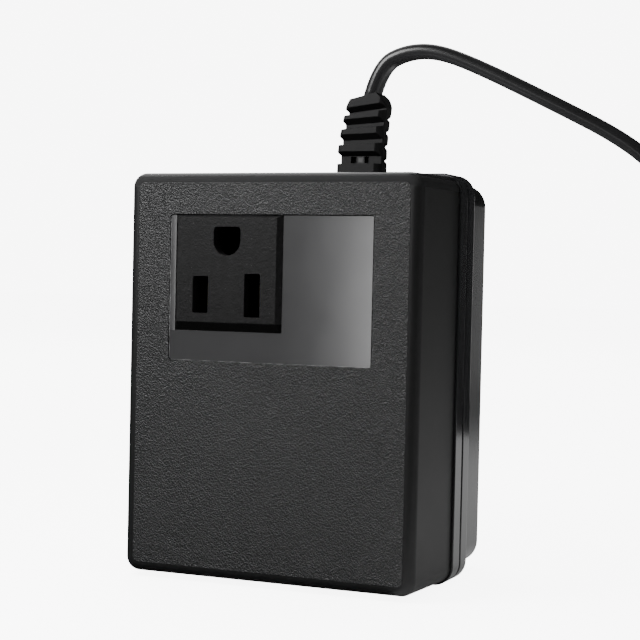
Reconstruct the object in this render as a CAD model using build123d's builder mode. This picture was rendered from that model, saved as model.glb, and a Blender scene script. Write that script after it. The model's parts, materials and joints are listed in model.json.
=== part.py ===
from build123d import *
import os
from math import cos, pi, radians, sin, sqrt, tan

# A small step-down voltage converter: a two-shell moulded case with a three-hole socket in front, an
# autotransformer inside and a flat twin cord with a two-pin plug. Millimetres; +Z is up, the front faces -Y,
# and the origin is the middle of the case's underside.

os.makedirs("parts", exist_ok=True)

# Case
case_width = 71.0
case_height = 91.5
case_depth = 52.5
wall = 2.2
front_body_depth = 23.5
front_band_depth = 4.6
groove_width = 0.8
rear_band_depth = 5.1
flange_proud = 0.6
front_draft = 1.5
rear_draft = 1.0
front_corner_radius = 3.8
flange_corner_radius = 4.6
rear_corner_radius = 5.5
inner_corner_radius = 1.6
front_edge_radius = 2.2
rear_edge_radius = 2.2
band_lip_radius = 0.25
rear_band_radius = 1.1
rear_side_inset = 2.0
rear_end_inset = 0.3
tongue_thickness = 1.2
tongue_height = 2.4
tongue_end_gap = 16.75
fit_clearance = 0.15
slip = 0.05
overrun = 1.0

flange_width = case_width + 2 * flange_proud
flange_height = case_height + 2 * flange_proud
front_y = -case_depth / 2
mid_z = flange_height / 2
front_band_end = front_body_depth + front_band_depth
rear_band_start = front_band_end + groove_width
rear_band_end = rear_band_start + rear_band_depth
seam_depth = (front_band_end + rear_band_start) / 2
seam_y = front_y + seam_depth
rear_width = case_width - 2 * rear_side_inset
rear_height = case_height - 2 * rear_end_inset
front_cavity_width = case_width - 2 * wall
front_cavity_height = case_height - 2 * wall
rear_cavity_width = rear_width - 2 * wall
rear_cavity_height = rear_height - 2 * wall
back_wall_depth = case_depth - wall

# Case screws and their bosses
boss_radius = 3.6
boss_from_side = 7.5
boss_from_end = 7.75
boss_web = 1.4
screw_shank_radius = 1.4
screw_hole_radius = 1.6
screw_pilot_radius = 1.45
screw_head_radius = 2.7
screw_head_height = 1.9
screw_recess_radius = 2.9
screw_recess_depth = 14.0
screw_pilot_depth = 12.0
screw_engagement = 10.0
screw_slot_width = 0.8
screw_slot_depth = 1.0

boss_spacing_x = case_width - 2 * boss_from_side
boss_spacing_z = case_height - 2 * boss_from_end

# Recess and rating plate
recess_width = 49.0
recess_height = 32.8
recess_from_top = 10.4
recess_depth = 0.5
recess_corner_radius = 0.8
plate_thickness = 0.25
plate_clearance = 0.1

recess_top_z = flange_height - recess_from_top

# Socket
socket_x = -10.0
socket_left = 12.9
socket_right = 13.1
socket_top_gap = 0.15
socket_base_height = 25.8
socket_bevel_left = 0.7
socket_bevel_right = 1.1
socket_bevel_top = 0.65
socket_bevel_bottom = 2.0
socket_proud = 0.7
socket_body_width = 23.6
socket_body_height = 23.2
socket_body_corner_radius = 0.8
socket_body_depth = 18.0
socket_face_thickness = 3.0
socket_cover_thickness = 2.0
blade_spacing = 12.7
blade_from_top = 17.75
slot_width = 3.8
slot_left_height = 8.2
slot_right_height = 9.6
slot_corner_radius = 0.3
ground_rise = 11.89
ground_width = 6.6
ground_height = 6.4
ground_corner_radius = 0.9
chamber_width = 6.0
chamber_height = 10.4
ground_chamber_width = 7.4
ground_chamber_height = 7.6
snap_proud = 0.9
snap_height = 6.0
snap_depth = 2.4
contact_gap = 1.6
contact_thickness = 0.5
contact_height = 5.0
contact_finger_depth = 11.0
contact_flare = 0.9
contact_base_thickness = 0.6
contact_tail_length = 4.0
contact_tail_thickness = 0.8
cover_screw_radius = 1.1
cover_screw_head_radius = 2.0
cover_screw_head_height = 1.2
cover_screw_length = 8.0
cover_screw_inset_x = 3.6
cover_screw_inset_z = 5.6

socket_base_top_z = recess_top_z - socket_top_gap
blade_z = socket_base_top_z - blade_from_top

# Autotransformer: laminated core, bobbin and windings
core_side_gap = 0.4
core_end_gap = 1.65
core_leg_share = 1 / 3
core_yoke_share = 1 / 6
core_window_share = 1 / 2
core_bottom_z = 6.0
core_y = 1.0
bolt_hole_radius = 1.75
bolt_radius = 1.6
bolt_head_radius = 3.0
bolt_head_height = 2.0
bolt_engagement = 5.0
post_radius = 3.2
post_pilot_radius = 1.65
bobbin_clearance = 0.2
bobbin_wall = 1.0
bobbin_window_clearance = 0.4
winding_end_clearance = 0.6
common_share = 0.325
insulation_thickness = 0.3
series_share = 0.3
tape_thickness = 0.4
winding_end_gap = 0.1
pin_radius = 0.5
pin_rise = 5.0
pin_shares = (-0.75, -0.5, 0.5, 0.75)
pin_from_edge = 3.9
fuse_radius = 2.0
fuse_length = 9.0
fuse_lead_radius = 0.4
fuse_lead_length = 2.0

core_width = boss_spacing_x - 2 * (boss_radius + core_side_gap)
core_leg = core_width * core_leg_share
core_yoke = core_width * core_yoke_share
core_window_height = core_width * core_window_share
window_width = (core_width - core_leg - 2 * core_yoke) / 2
winding_overhang = window_width - winding_end_clearance
core_stack = case_depth - 2 * (wall + core_end_gap + winding_overhang)
common_thickness = window_width * common_share
series_thickness = window_width * series_share
pin_offsets = [core_leg * share for share in pin_shares]

# Leads
lead_radius = 0.8
sleeve_wall = 0.5
sleeve_length = 7.0
sleeve_overlap = 3.0
lead_spread = 3.2

# Strain relief at the top, one row for each rib: the rises above the flange of its underside, widest lower edge
# and top, then its width, depth, middle, and the slope of its edges in degrees
relief_x = 10.0
relief_base_width = 9.15
relief_base_depth = 6.9
relief_base_height = 2.4
relief_base_chamfer = 0.4
relief_ribs = (
    (4.1, 5.3, 6.95, 9.2, 6.8, 10.05, 0.0),
    (7.8, 8.8, 10.5, 9.0, 6.65, 10.15, 0.0),
    (11.45, 12.25, 13.8, 8.9, 6.5, 10.55, 2.0),
)
relief_lean = 0.19
rib_chamfer = 0.7
rib_top_chamfer = 0.3
relief_core_width = 7.3
relief_core_depth = 3.6
relief_web_width = 1.7
relief_web_depth = 5.5
relief_cap_bottom_rise = 14.4
relief_cap_lower_rise = 15.2
relief_cap_left_rise = 2.7
relief_cap_right_rise = 1.7
relief_cap_left = 7.6
relief_cap_right = 15.8
relief_cap_slope = 5.0
relief_cap_depth = 6.3
relief_cap_edge = 0.6
relief_neck_width = 6.4
relief_neck_depth = 5.0
relief_heel_width = 9.0
relief_heel_depth = 6.8
relief_heel_height = 1.5
relief_stub_width = 6.6
relief_stub_depth = 4.4
relief_stub_height = 2.0

# Cord: flat and twin, its wide side level all the way
cord_width = 5.4
cord_thickness = 3.3
cord_corner_radius = 1.6
cord_exit_x = 12.5
cord_exit_rise = 18.9
cord_exit_slope = 67.2
tie_thickness = 0.5
tie_width = 4.0
tie_clearance = 0.4
tie_angle = -30.0
turn_pitch = 6.0
layer_pitch = 3.9
coil_start_radius = 34.5
coil_lower_quarters = 8
coil_climb_quarters = 2
coil_upper_quarters = 7
gap_step = 1.5

# Plug
plug_width = 35.3
plug_thickness = 13.7
plug_body_length = 33.0
plug_corner_radius = 4.5
plug_waist_width = 26.0
plug_waist_thickness = 12.2
plug_tail_width = 12.0
plug_tail_thickness = 8.6
plug_front_length = 9.0
plug_waist_length = 12.0
plug_edge_radius = 0.8
plug_relief_length = 16.0
plug_relief_ribs = 5
plug_relief_end_width = 8.0
plug_relief_end_thickness = 5.4
plug_rib_proud = 0.8
plug_pin_spacing = 18.6
plug_pin_radius = 2.0
plug_pin_neck_radius = 1.4
plug_pin_bare_length = 9.0
plug_pin_tip_radius = 1.2
plug_sleeve_length = 10.0
plug_sleeve_radius = 1.75
plug_pin_root = 8.0
plug_rest_gap = 0.15


def facing_front(depth):
    """A plane this far behind the front of the case, looking forward, its middle at the case's middle."""
    return Plane(origin=(0, front_y + depth, mid_z), x_dir=(1, 0, 0), z_dir=(0, -1, 0))


def facing_back(depth):
    """The same plane looking backward, with X turned round."""
    return Plane(origin=(0, front_y + depth, mid_z), x_dir=(-1, 0, 0), z_dir=(0, 1, 0))


def level(z, x=0, y=0):
    """A level plane at a height."""
    return Plane(origin=(x, y, z))


def face_at(part, depth):
    """The flat face square to Y that lies nearest to a depth."""
    return part.faces().filter_by(Axis.Y).sort_by(lambda face: abs(face.center().Y - front_y - depth))[0]


boss_places = [
    (side * boss_spacing_x / 2, end * boss_spacing_z / 2) for side in (-1, 1) for end in (-1, 1)
]


def shell_bosses(plane, start_depth, reach, cavity_width):
    """Four screw bosses from the seam to a wall, each joined to the side wall by a web."""
    web_reach = cavity_width / 2 + wall / 3 - boss_spacing_x / 2
    with BuildSketch(plane(start_depth)) as bosses:
        with Locations(*boss_places):
            Circle(boss_radius)
        for x, z in boss_places:
            with Locations((x + (web_reach / 2 if x > 0 else -web_reach / 2), z)):
                Rectangle(web_reach, boss_web)
    extrude(bosses.sketch, amount=reach)


# Front shell: drafted body, front band of the flange, recess, socket opening and bosses
recess_z = recess_top_z - recess_height / 2
socket_base_z = socket_base_top_z - socket_base_height / 2
socket_body_x = socket_x
socket_body_z = socket_base_z
relief_hole_width = relief_neck_width + 2 * fit_clearance
relief_hole_depth = relief_neck_depth + 2 * fit_clearance


def relief_hole():
    """The upright hole that the strain relief's neck passes through, half in each shell."""
    with BuildSketch(level(flange_height - 2 * wall - 2 * flange_proud, relief_x, seam_y)) as hole:
        Rectangle(relief_hole_width, relief_hole_depth)
    extrude(hole.sketch, amount=2 * wall + 2 * flange_proud + overrun, mode=Mode.SUBTRACT)


with BuildPart() as front_shell:
    with BuildSketch(facing_front(front_body_depth)):
        RectangleRounded(case_width, case_height, front_corner_radius)
    extrude(amount=front_body_depth, taper=front_draft)
    fillet(face_at(front_shell, 0).edges(), front_edge_radius)
    with BuildSketch(facing_front(front_band_end)):
        RectangleRounded(flange_width, flange_height, flange_corner_radius)
    extrude(amount=front_band_depth)
    for band_depth in (front_body_depth, front_band_end):
        fillet(face_at(front_shell, band_depth).outer_wire().edges(), band_lip_radius)
    with BuildSketch(facing_front(seam_depth)):
        RectangleRounded(case_width, case_height, front_corner_radius)
    extrude(amount=seam_depth - front_band_end)
    with BuildSketch(facing_front(seam_depth)):
        RectangleRounded(front_cavity_width, front_cavity_height, inner_corner_radius)
    extrude(amount=seam_depth - wall, taper=front_draft, mode=Mode.SUBTRACT)
    shell_bosses(facing_front, seam_depth, seam_depth - wall / 2, front_cavity_width)
    with BuildSketch(facing_front(seam_depth)):
        with Locations(*boss_places):
            Circle(screw_pilot_radius)
    extrude(amount=screw_pilot_depth, mode=Mode.SUBTRACT)
    with BuildSketch(facing_front(recess_depth)):
        with Locations((0, recess_z - mid_z)):
            RectangleRounded(recess_width, recess_height, recess_corner_radius)
    extrude(amount=recess_depth + overrun, mode=Mode.SUBTRACT)
    with BuildSketch(facing_front(wall + overrun)):
        with Locations((socket_body_x, socket_body_z - mid_z)):
            RectangleRounded(
                socket_body_width + 2 * fit_clearance,
                socket_body_height + 2 * fit_clearance,
                socket_body_corner_radius,
            )
    extrude(amount=wall + 2 * overrun, mode=Mode.SUBTRACT)
    relief_hole()
front_shell.part.label = "front_shell"
export_step(front_shell.part, "parts/front_shell.step")

# Rear shell: rear band of the flange, drafted body, tongues, screw bosses and posts for the core
core_height = core_window_height + 2 * core_yoke
core_z = core_bottom_z + core_height / 2
core_back_depth = core_y + core_stack / 2 - front_y
core_front_depth = core_back_depth - core_stack
bolt_places = [
    (side * (core_width - core_yoke) / 2, end * (core_height - core_yoke) / 2 + core_z - mid_z)
    for side in (-1, 1)
    for end in (-1, 1)
]

with BuildPart() as rear_shell:
    with BuildSketch(facing_front(rear_band_end)):
        RectangleRounded(flange_width, flange_height, flange_corner_radius)
    extrude(amount=rear_band_depth)
    fillet(face_at(rear_shell, rear_band_end).outer_wire().edges(), rear_band_radius)
    fillet(face_at(rear_shell, rear_band_start).outer_wire().edges(), band_lip_radius)
    with BuildSketch(facing_back(rear_band_end)):
        RectangleRounded(rear_width, rear_height, rear_corner_radius)
    extrude(amount=case_depth - rear_band_end, taper=rear_draft)
    fillet(face_at(rear_shell, case_depth).edges(), rear_edge_radius)
    with BuildSketch(facing_front(rear_band_start)):
        RectangleRounded(case_width, case_height, front_corner_radius)
    extrude(amount=rear_band_start - seam_depth)
    with BuildSketch(facing_back(seam_depth)):
        RectangleRounded(rear_cavity_width, rear_cavity_height, rear_corner_radius - wall)
    extrude(amount=back_wall_depth - seam_depth, taper=rear_draft, mode=Mode.SUBTRACT)
    shell_bosses(facing_back, seam_depth, case_depth - wall / 2 - seam_depth, rear_cavity_width)
    with Locations(facing_back(case_depth)):
        with Locations(*boss_places):
            CounterBoreHole(
                screw_hole_radius,
                screw_recess_radius,
                screw_recess_depth,
                depth=case_depth - seam_depth + overrun,
            )
    with BuildSketch(facing_back(core_back_depth)):
        with Locations(*bolt_places):
            Circle(post_radius)
    extrude(amount=case_depth - wall / 2 - core_back_depth)
    with BuildSketch(facing_back(core_back_depth)):
        with Locations(*bolt_places):
            Circle(post_pilot_radius)
    extrude(amount=bolt_engagement + overrun, mode=Mode.SUBTRACT)
    with BuildSketch(facing_front(seam_depth)):
        for side in (-1, 1):
            with Locations((side * (front_cavity_width / 2 - fit_clearance - tongue_thickness / 2), 0)):
                Rectangle(tongue_thickness, case_height - 2 * tongue_end_gap)
    extrude(amount=tongue_height)
    relief_hole()
rear_shell.part.label = "rear_shell"
export_step(rear_shell.part, "parts/rear_shell.step")

# Case screws, recessed from the back, their tips in the front shell's bosses
screw_seat_depth = case_depth - screw_recess_depth

with BuildPart() as case_screws:
    with BuildSketch(facing_back(screw_seat_depth)):
        with Locations(*boss_places):
            Circle(screw_head_radius)
    extrude(amount=screw_head_height)
    with BuildSketch(facing_front(screw_seat_depth)):
        with Locations(*boss_places):
            Circle(screw_shank_radius)
    extrude(amount=screw_seat_depth - seam_depth + screw_engagement)
    fillet(
        case_screws.edges().filter_by(GeomType.CIRCLE).group_by(Axis.Y)[-1],
        screw_head_height / 3,
    )
    for slot_size in ((1, 0), (0, 1)):
        with BuildSketch(facing_front(screw_seat_depth + screw_head_height - screw_slot_depth)):
            with Locations(*boss_places):
                Rectangle(
                    screw_slot_width + slot_size[0] * screw_head_radius,
                    screw_slot_width + slot_size[1] * screw_head_radius,
                )
        extrude(amount=-screw_slot_depth - overrun, mode=Mode.SUBTRACT)
case_screws.part.label = "case_screws"
export_step(case_screws.part, "parts/case_screws.step")

# Rating plate, let into the recess round the socket's three sides
socket_notch_width = socket_left + socket_right + 2 * plate_clearance
socket_notch_x = socket_x + (socket_right - socket_left) / 2

with BuildPart() as rating_plate:
    with BuildSketch(facing_front(recess_depth)):
        with Locations((0, recess_z - mid_z)):
            RectangleRounded(
                recess_width - 2 * plate_clearance,
                recess_height - 2 * plate_clearance,
                recess_corner_radius - plate_clearance,
            )
        with Locations((socket_notch_x, socket_base_z - mid_z + overrun)):
            Rectangle(
                socket_notch_width,
                socket_base_height + 2 * plate_clearance + 2 * overrun,
                mode=Mode.SUBTRACT,
            )
    extrude(amount=plate_thickness)
rating_plate.part.label = "rating_plate"
export_step(rating_plate.part, "parts/rating_plate.step")

# Socket housing: bevelled face in front of the wall, body through it, chambers open to the back
blade_x = (socket_x - blade_spacing / 2, socket_x + blade_spacing / 2)
ground_z = blade_z + ground_rise
slot_heights = (slot_left_height, slot_right_height)
cover_screw_places = [
    (socket_x - socket_body_width / 2 + cover_screw_inset_x, socket_body_z + cover_screw_inset_z),
    (socket_x + socket_body_width / 2 - cover_screw_inset_x, socket_body_z + cover_screw_inset_z),
    (socket_x, blade_z),
]
screw_spots = [(x, z - mid_z) for x, z in cover_screw_places]
socket_cover_depth = socket_body_depth + socket_cover_thickness

with BuildPart() as socket_housing:
    with BuildSketch(facing_front(recess_depth)):
        with Locations((socket_notch_x, socket_base_z - mid_z)):
            Rectangle(socket_left + socket_right, socket_base_height)
    with BuildSketch(facing_front(-socket_proud)):
        with Locations(
            (
                socket_notch_x + (socket_bevel_left - socket_bevel_right) / 2,
                socket_base_z - mid_z + (socket_bevel_bottom - socket_bevel_top) / 2,
            )
        ):
            Rectangle(
                socket_left + socket_right - socket_bevel_left - socket_bevel_right,
                socket_base_height - socket_bevel_top - socket_bevel_bottom,
            )
    loft(ruled=True)
    with BuildSketch(facing_front(socket_body_depth)):
        with Locations((socket_body_x, socket_body_z - mid_z)):
            RectangleRounded(socket_body_width, socket_body_height, socket_body_corner_radius)
    extrude(amount=socket_body_depth - recess_depth)
    with BuildSketch(facing_front(wall + fit_clearance + snap_depth)):
        with Locations((socket_body_x, socket_body_z - mid_z)):
            Rectangle(socket_body_width + 2 * snap_proud, snap_height)
    extrude(amount=snap_depth)
    with BuildSketch(facing_front(socket_body_depth)):
        for x in blade_x:
            with Locations((x, blade_z - mid_z)):
                Rectangle(chamber_width, chamber_height)
        with Locations((socket_x, ground_z - mid_z)):
            Rectangle(ground_chamber_width, ground_chamber_height)
    extrude(amount=socket_body_depth + socket_proud - socket_face_thickness, mode=Mode.SUBTRACT)
    with BuildSketch(facing_front(socket_face_thickness)):
        for x, height in zip(blade_x, slot_heights):
            with Locations((x, blade_z - mid_z)):
                RectangleRounded(slot_width, height, slot_corner_radius)
    extrude(amount=socket_face_thickness + socket_proud + overrun, mode=Mode.SUBTRACT)
    with BuildSketch(facing_front(socket_face_thickness)):
        with Locations((socket_x, ground_z - mid_z + ground_height / 2 - ground_width / 4)):
            RectangleRounded(ground_width, ground_width / 2, ground_corner_radius)
        with Locations((socket_x, ground_z - mid_z - ground_height / 2 + ground_width / 2)):
            Circle(ground_width / 2)
        with Locations((socket_x, ground_z - mid_z)):
            Rectangle(ground_width, ground_height, mode=Mode.INTERSECT)
    extrude(amount=socket_face_thickness + socket_proud + overrun, mode=Mode.SUBTRACT)
    with BuildSketch(facing_front(socket_body_depth)):
        with Locations(*screw_spots):
            Circle(cover_screw_radius + slip)
    extrude(amount=cover_screw_length, mode=Mode.SUBTRACT)
socket_housing.part.label = "socket_housing"
export_step(socket_housing.part, "parts/socket_housing.step")

with BuildPart() as socket_back_cover:
    with BuildSketch(facing_front(socket_cover_depth)):
        with Locations((socket_body_x, socket_body_z - mid_z)):
            RectangleRounded(socket_body_width, socket_body_height, socket_body_corner_radius)
        for x in blade_x:
            with Locations((x, blade_z - mid_z)):
                Rectangle(
                    contact_tail_thickness + 2 * slip, contact_height + 2 * slip, mode=Mode.SUBTRACT
                )
        with Locations(*screw_spots):
            Circle(cover_screw_radius + slip, mode=Mode.SUBTRACT)
    extrude(amount=socket_cover_thickness)
socket_back_cover.part.label = "socket_back_cover"
export_step(socket_back_cover.part, "parts/socket_back_cover.step")

# Contacts: two spring fingers with flared mouths on a base that seats on the cover, and a tail through it
contact_base_depth = socket_body_depth - contact_base_thickness


def contact(x):
    """A contact, drawn as seen from above, with a flare at the mouth of each finger."""
    tail_end = socket_cover_depth + contact_tail_length
    inner = contact_gap / 2
    outer = inner + contact_thickness
    mouth_y = front_y + contact_base_depth - contact_finger_depth
    with BuildSketch(level(blade_z - contact_height / 2)) as profile:
        for side in (-1, 1):
            with BuildLine():
                Polyline(
                    (x + side * inner, front_y + contact_base_depth),
                    (x + side * inner, mouth_y + contact_flare),
                    (x + side * (inner + contact_flare / 2), mouth_y),
                    (x + side * (outer + contact_flare / 2), mouth_y),
                    (x + side * outer, mouth_y + contact_flare),
                    (x + side * outer, front_y + contact_base_depth),
                    close=True,
                )
            make_face()
        with Locations((x, front_y + socket_body_depth - contact_base_thickness / 2)):
            Rectangle(chamber_width - 2 * slip, contact_base_thickness)
        with Locations((x, front_y + (socket_body_depth + tail_end) / 2)):
            Rectangle(contact_tail_thickness, tail_end - socket_body_depth)
    extrude(profile.sketch, amount=contact_height)


with BuildPart() as neutral_contact:
    contact(blade_x[0])
neutral_contact.part.label = "neutral_contact"
export_step(neutral_contact.part, "parts/neutral_contact.step")

with BuildPart() as line_contact:
    contact(blade_x[1])
line_contact.part.label = "line_contact"
export_step(line_contact.part, "parts/line_contact.step")

with BuildPart() as socket_cover_screws:
    with BuildSketch(facing_back(socket_cover_depth)):
        with Locations(*[(-x, z) for x, z in screw_spots]):
            Circle(cover_screw_head_radius)
    extrude(amount=cover_screw_head_height)
    with BuildSketch(facing_front(socket_cover_depth)):
        with Locations(*screw_spots):
            Circle(cover_screw_radius)
    extrude(amount=cover_screw_length)
socket_cover_screws.part.label = "socket_cover_screws"
export_step(socket_cover_screws.part, "parts/socket_cover_screws.step")

# Core: a stack of E laminations, closed on top by a stack of I laminations
e_top_z = core_bottom_z + core_yoke + core_window_height
core_top_z = e_top_z + core_yoke

with BuildPart() as core_e_stack:
    with BuildSketch(facing_front(core_back_depth)):
        with Locations((0, (core_bottom_z + e_top_z) / 2 - mid_z)):
            Rectangle(core_width, e_top_z - core_bottom_z)
        for side in (-1, 1):
            with Locations((side * (core_leg + window_width) / 2, e_top_z - core_window_height / 2 - mid_z)):
                Rectangle(window_width, core_window_height, mode=Mode.SUBTRACT)
        with Locations(*[place for place in bolt_places if place[1] < core_z - mid_z]):
            Circle(bolt_hole_radius, mode=Mode.SUBTRACT)
    extrude(amount=core_stack)
core_e_stack.part.label = "core_e_stack"
export_step(core_e_stack.part, "parts/core_e_stack.step")

with BuildPart() as core_i_stack:
    with BuildSketch(facing_front(core_back_depth)):
        with Locations((0, (e_top_z + core_top_z) / 2 - mid_z)):
            Rectangle(core_width, core_yoke)
        with Locations(*[place for place in bolt_places if place[1] > core_z - mid_z]):
            Circle(bolt_hole_radius, mode=Mode.SUBTRACT)
    extrude(amount=core_stack)
core_i_stack.part.label = "core_i_stack"
export_step(core_i_stack.part, "parts/core_i_stack.step")

with BuildPart() as core_bolts:
    with BuildSketch(facing_front(core_front_depth)):
        with Locations(*bolt_places):
            RegularPolygon(bolt_head_radius, 6)
    extrude(amount=bolt_head_height)
    with BuildSketch(facing_back(core_front_depth)):
        with Locations(*bolt_places):
            Circle(bolt_radius)
    extrude(amount=core_stack + bolt_engagement)
core_bolts.part.label = "core_bolts"
export_step(core_bolts.part, "parts/core_bolts.step")

# Bobbin on the middle leg, with its two windings, their insulation and the outer tape
tube_width = core_leg + 2 * bobbin_clearance
tube_depth = core_stack + 2 * bobbin_clearance
winding_bottom_z = core_bottom_z + core_yoke + bobbin_clearance + bobbin_wall
winding_top_z = e_top_z - bobbin_clearance - bobbin_wall
bobbin_flange_width = core_leg + 2 * window_width - 2 * bobbin_window_clearance
bobbin_flange_depth = core_stack + 2 * winding_overhang
pin_y = core_y - bobbin_flange_depth / 2 + pin_from_edge

with BuildPart() as coil_bobbin:
    with BuildSketch(level(winding_bottom_z, 0, core_y)):
        Rectangle(tube_width + 2 * bobbin_wall, tube_depth + 2 * bobbin_wall)
    extrude(amount=winding_top_z - winding_bottom_z)
    for flange_z in (winding_bottom_z - bobbin_wall, winding_top_z):
        with BuildSketch(level(flange_z, 0, core_y)):
            RectangleRounded(bobbin_flange_width, bobbin_flange_depth, bobbin_wall)
        extrude(amount=bobbin_wall)
    with BuildSketch(level(winding_bottom_z - bobbin_wall, 0, core_y)):
        Rectangle(tube_width, tube_depth)
    extrude(amount=winding_top_z - winding_bottom_z + 2 * bobbin_wall, mode=Mode.SUBTRACT)
    with BuildSketch(level(winding_top_z, 0, pin_y)):
        with Locations(*[(x, 0) for x in pin_offsets]):
            Circle(pin_radius + slip)
    extrude(amount=bobbin_wall, mode=Mode.SUBTRACT)
coil_bobbin.part.label = "coil_bobbin"
export_step(coil_bobbin.part, "parts/coil_bobbin.step")


def winding_layer(inner, thickness, inner_radius):
    """A closed sleeve round the bobbin, from its inner offset outward."""
    with BuildSketch(level(winding_bottom_z + winding_end_gap, 0, core_y)) as layer:
        RectangleRounded(
            tube_width + 2 * (bobbin_wall + inner + thickness),
            tube_depth + 2 * (bobbin_wall + inner + thickness),
            inner_radius + thickness,
        )
        if inner_radius > 0:
            RectangleRounded(
                tube_width + 2 * (bobbin_wall + inner),
                tube_depth + 2 * (bobbin_wall + inner),
                inner_radius,
                mode=Mode.SUBTRACT,
            )
        else:
            Rectangle(
                tube_width + 2 * (bobbin_wall + inner),
                tube_depth + 2 * (bobbin_wall + inner),
                mode=Mode.SUBTRACT,
            )
    extrude(layer.sketch, amount=winding_top_z - winding_bottom_z - 2 * winding_end_gap)


insulation_inner = common_thickness + slip
series_inner = insulation_inner + insulation_thickness + slip
tape_inner = series_inner + series_thickness + slip

with BuildPart() as common_winding:
    winding_layer(0, common_thickness, 0)
common_winding.part.label = "common_winding"
export_step(common_winding.part, "parts/common_winding.step")

with BuildPart() as winding_insulation:
    winding_layer(insulation_inner, insulation_thickness, insulation_inner)
winding_insulation.part.label = "winding_insulation"
export_step(winding_insulation.part, "parts/winding_insulation.step")

with BuildPart() as series_winding:
    winding_layer(series_inner, series_thickness, series_inner)
series_winding.part.label = "series_winding"
export_step(series_winding.part, "parts/series_winding.step")

with BuildPart() as winding_tape:
    winding_layer(tape_inner, tape_thickness, tape_inner)
winding_tape.part.label = "winding_tape"
export_step(winding_tape.part, "parts/winding_tape.step")

# Terminal pins in the bobbin's upper flange, and the fuse that lies between them
bobbin_top_z = winding_top_z + bobbin_wall
pin_top_z = bobbin_top_z + pin_rise

with BuildPart() as terminal_pins:
    with BuildSketch(level(winding_top_z, 0, pin_y)):
        with Locations(*[(x, 0) for x in pin_offsets]):
            Circle(pin_radius)
    extrude(amount=bobbin_wall + pin_rise)
terminal_pins.part.label = "terminal_pins"
export_step(terminal_pins.part, "parts/terminal_pins.step")

fuse_plane = Plane(origin=(0, pin_y, bobbin_top_z + slip + fuse_radius), x_dir=(0, 1, 0), z_dir=(1, 0, 0))

with BuildPart() as thermal_fuse:
    with BuildSketch(fuse_plane):
        Circle(fuse_radius)
    extrude(amount=fuse_length / 2, both=True)
    chamfer(thermal_fuse.edges().filter_by(GeomType.CIRCLE), fuse_radius / 4)
    with BuildSketch(fuse_plane):
        Circle(fuse_lead_radius)
    extrude(amount=fuse_length / 2 + fuse_lead_length, both=True)
thermal_fuse.part.label = "thermal_fuse"
export_step(thermal_fuse.part, "parts/thermal_fuse.step")

# Strain relief: heel and neck in the wall, base ring, ribs on a webbed core and the cap that the cord leaves
relief_inner_z = mid_z + min(front_cavity_height, rear_cavity_height) / 2
relief_heel_top_z = relief_inner_z - fit_clearance
relief_stub_z = relief_heel_top_z - relief_heel_height - relief_stub_height
cord_exit = (cord_exit_x, flange_height + cord_exit_rise)


def relief_plane(x, z, slope=0.0):
    """A level plane of the relief, its X edge rising to the right by the slope."""
    return Plane(
        origin=(x, seam_y, z),
        x_dir=(cos(radians(slope)), 0, sin(radians(slope))),
        z_dir=(-sin(radians(slope)), 0, cos(radians(slope))),
    )


def relief_block(sections):
    """A straight-sided block through level rectangles, each x, z, slope, width and depth."""
    outlines = []
    for x, z, slope, width, depth in sections:
        with BuildSketch(relief_plane(x, z, slope)) as outline:
            Rectangle(width, depth)
        outlines.append(outline.sketch)
    loft(outlines, ruled=True)


def relief_core(low_x, low_z, low_slope, high_x, high_z, high_slope):
    """The narrow core between two ribs, with three webs across its front and back."""
    relief_block(
        [
            (low_x, low_z, low_slope, relief_core_width, relief_core_depth),
            (high_x, high_z, high_slope, relief_core_width, relief_core_depth),
        ]
    )
    for side in (-1, 0, 1):
        shift = side * (relief_core_width - relief_web_width) / 2
        relief_block(
            [
                (low_x + shift, low_z, low_slope, relief_web_width, relief_web_depth),
                (high_x + shift, high_z, high_slope, relief_web_width, relief_web_depth),
            ]
        )


exit_across = (cos(radians(cord_exit_slope)), sin(radians(cord_exit_slope)))
half_exit = cord_thickness / 2 + slip
exit_left = (cord_exit[0] - half_exit * exit_across[1], cord_exit[1] + half_exit * exit_across[0])
exit_right = (cord_exit[0] + half_exit * exit_across[1], cord_exit[1] - half_exit * exit_across[0])
cap_lower_z = flange_height + relief_cap_lower_rise
cap_x = (relief_cap_left + relief_cap_right) / 2
cap_width = relief_cap_right - relief_cap_left

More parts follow.
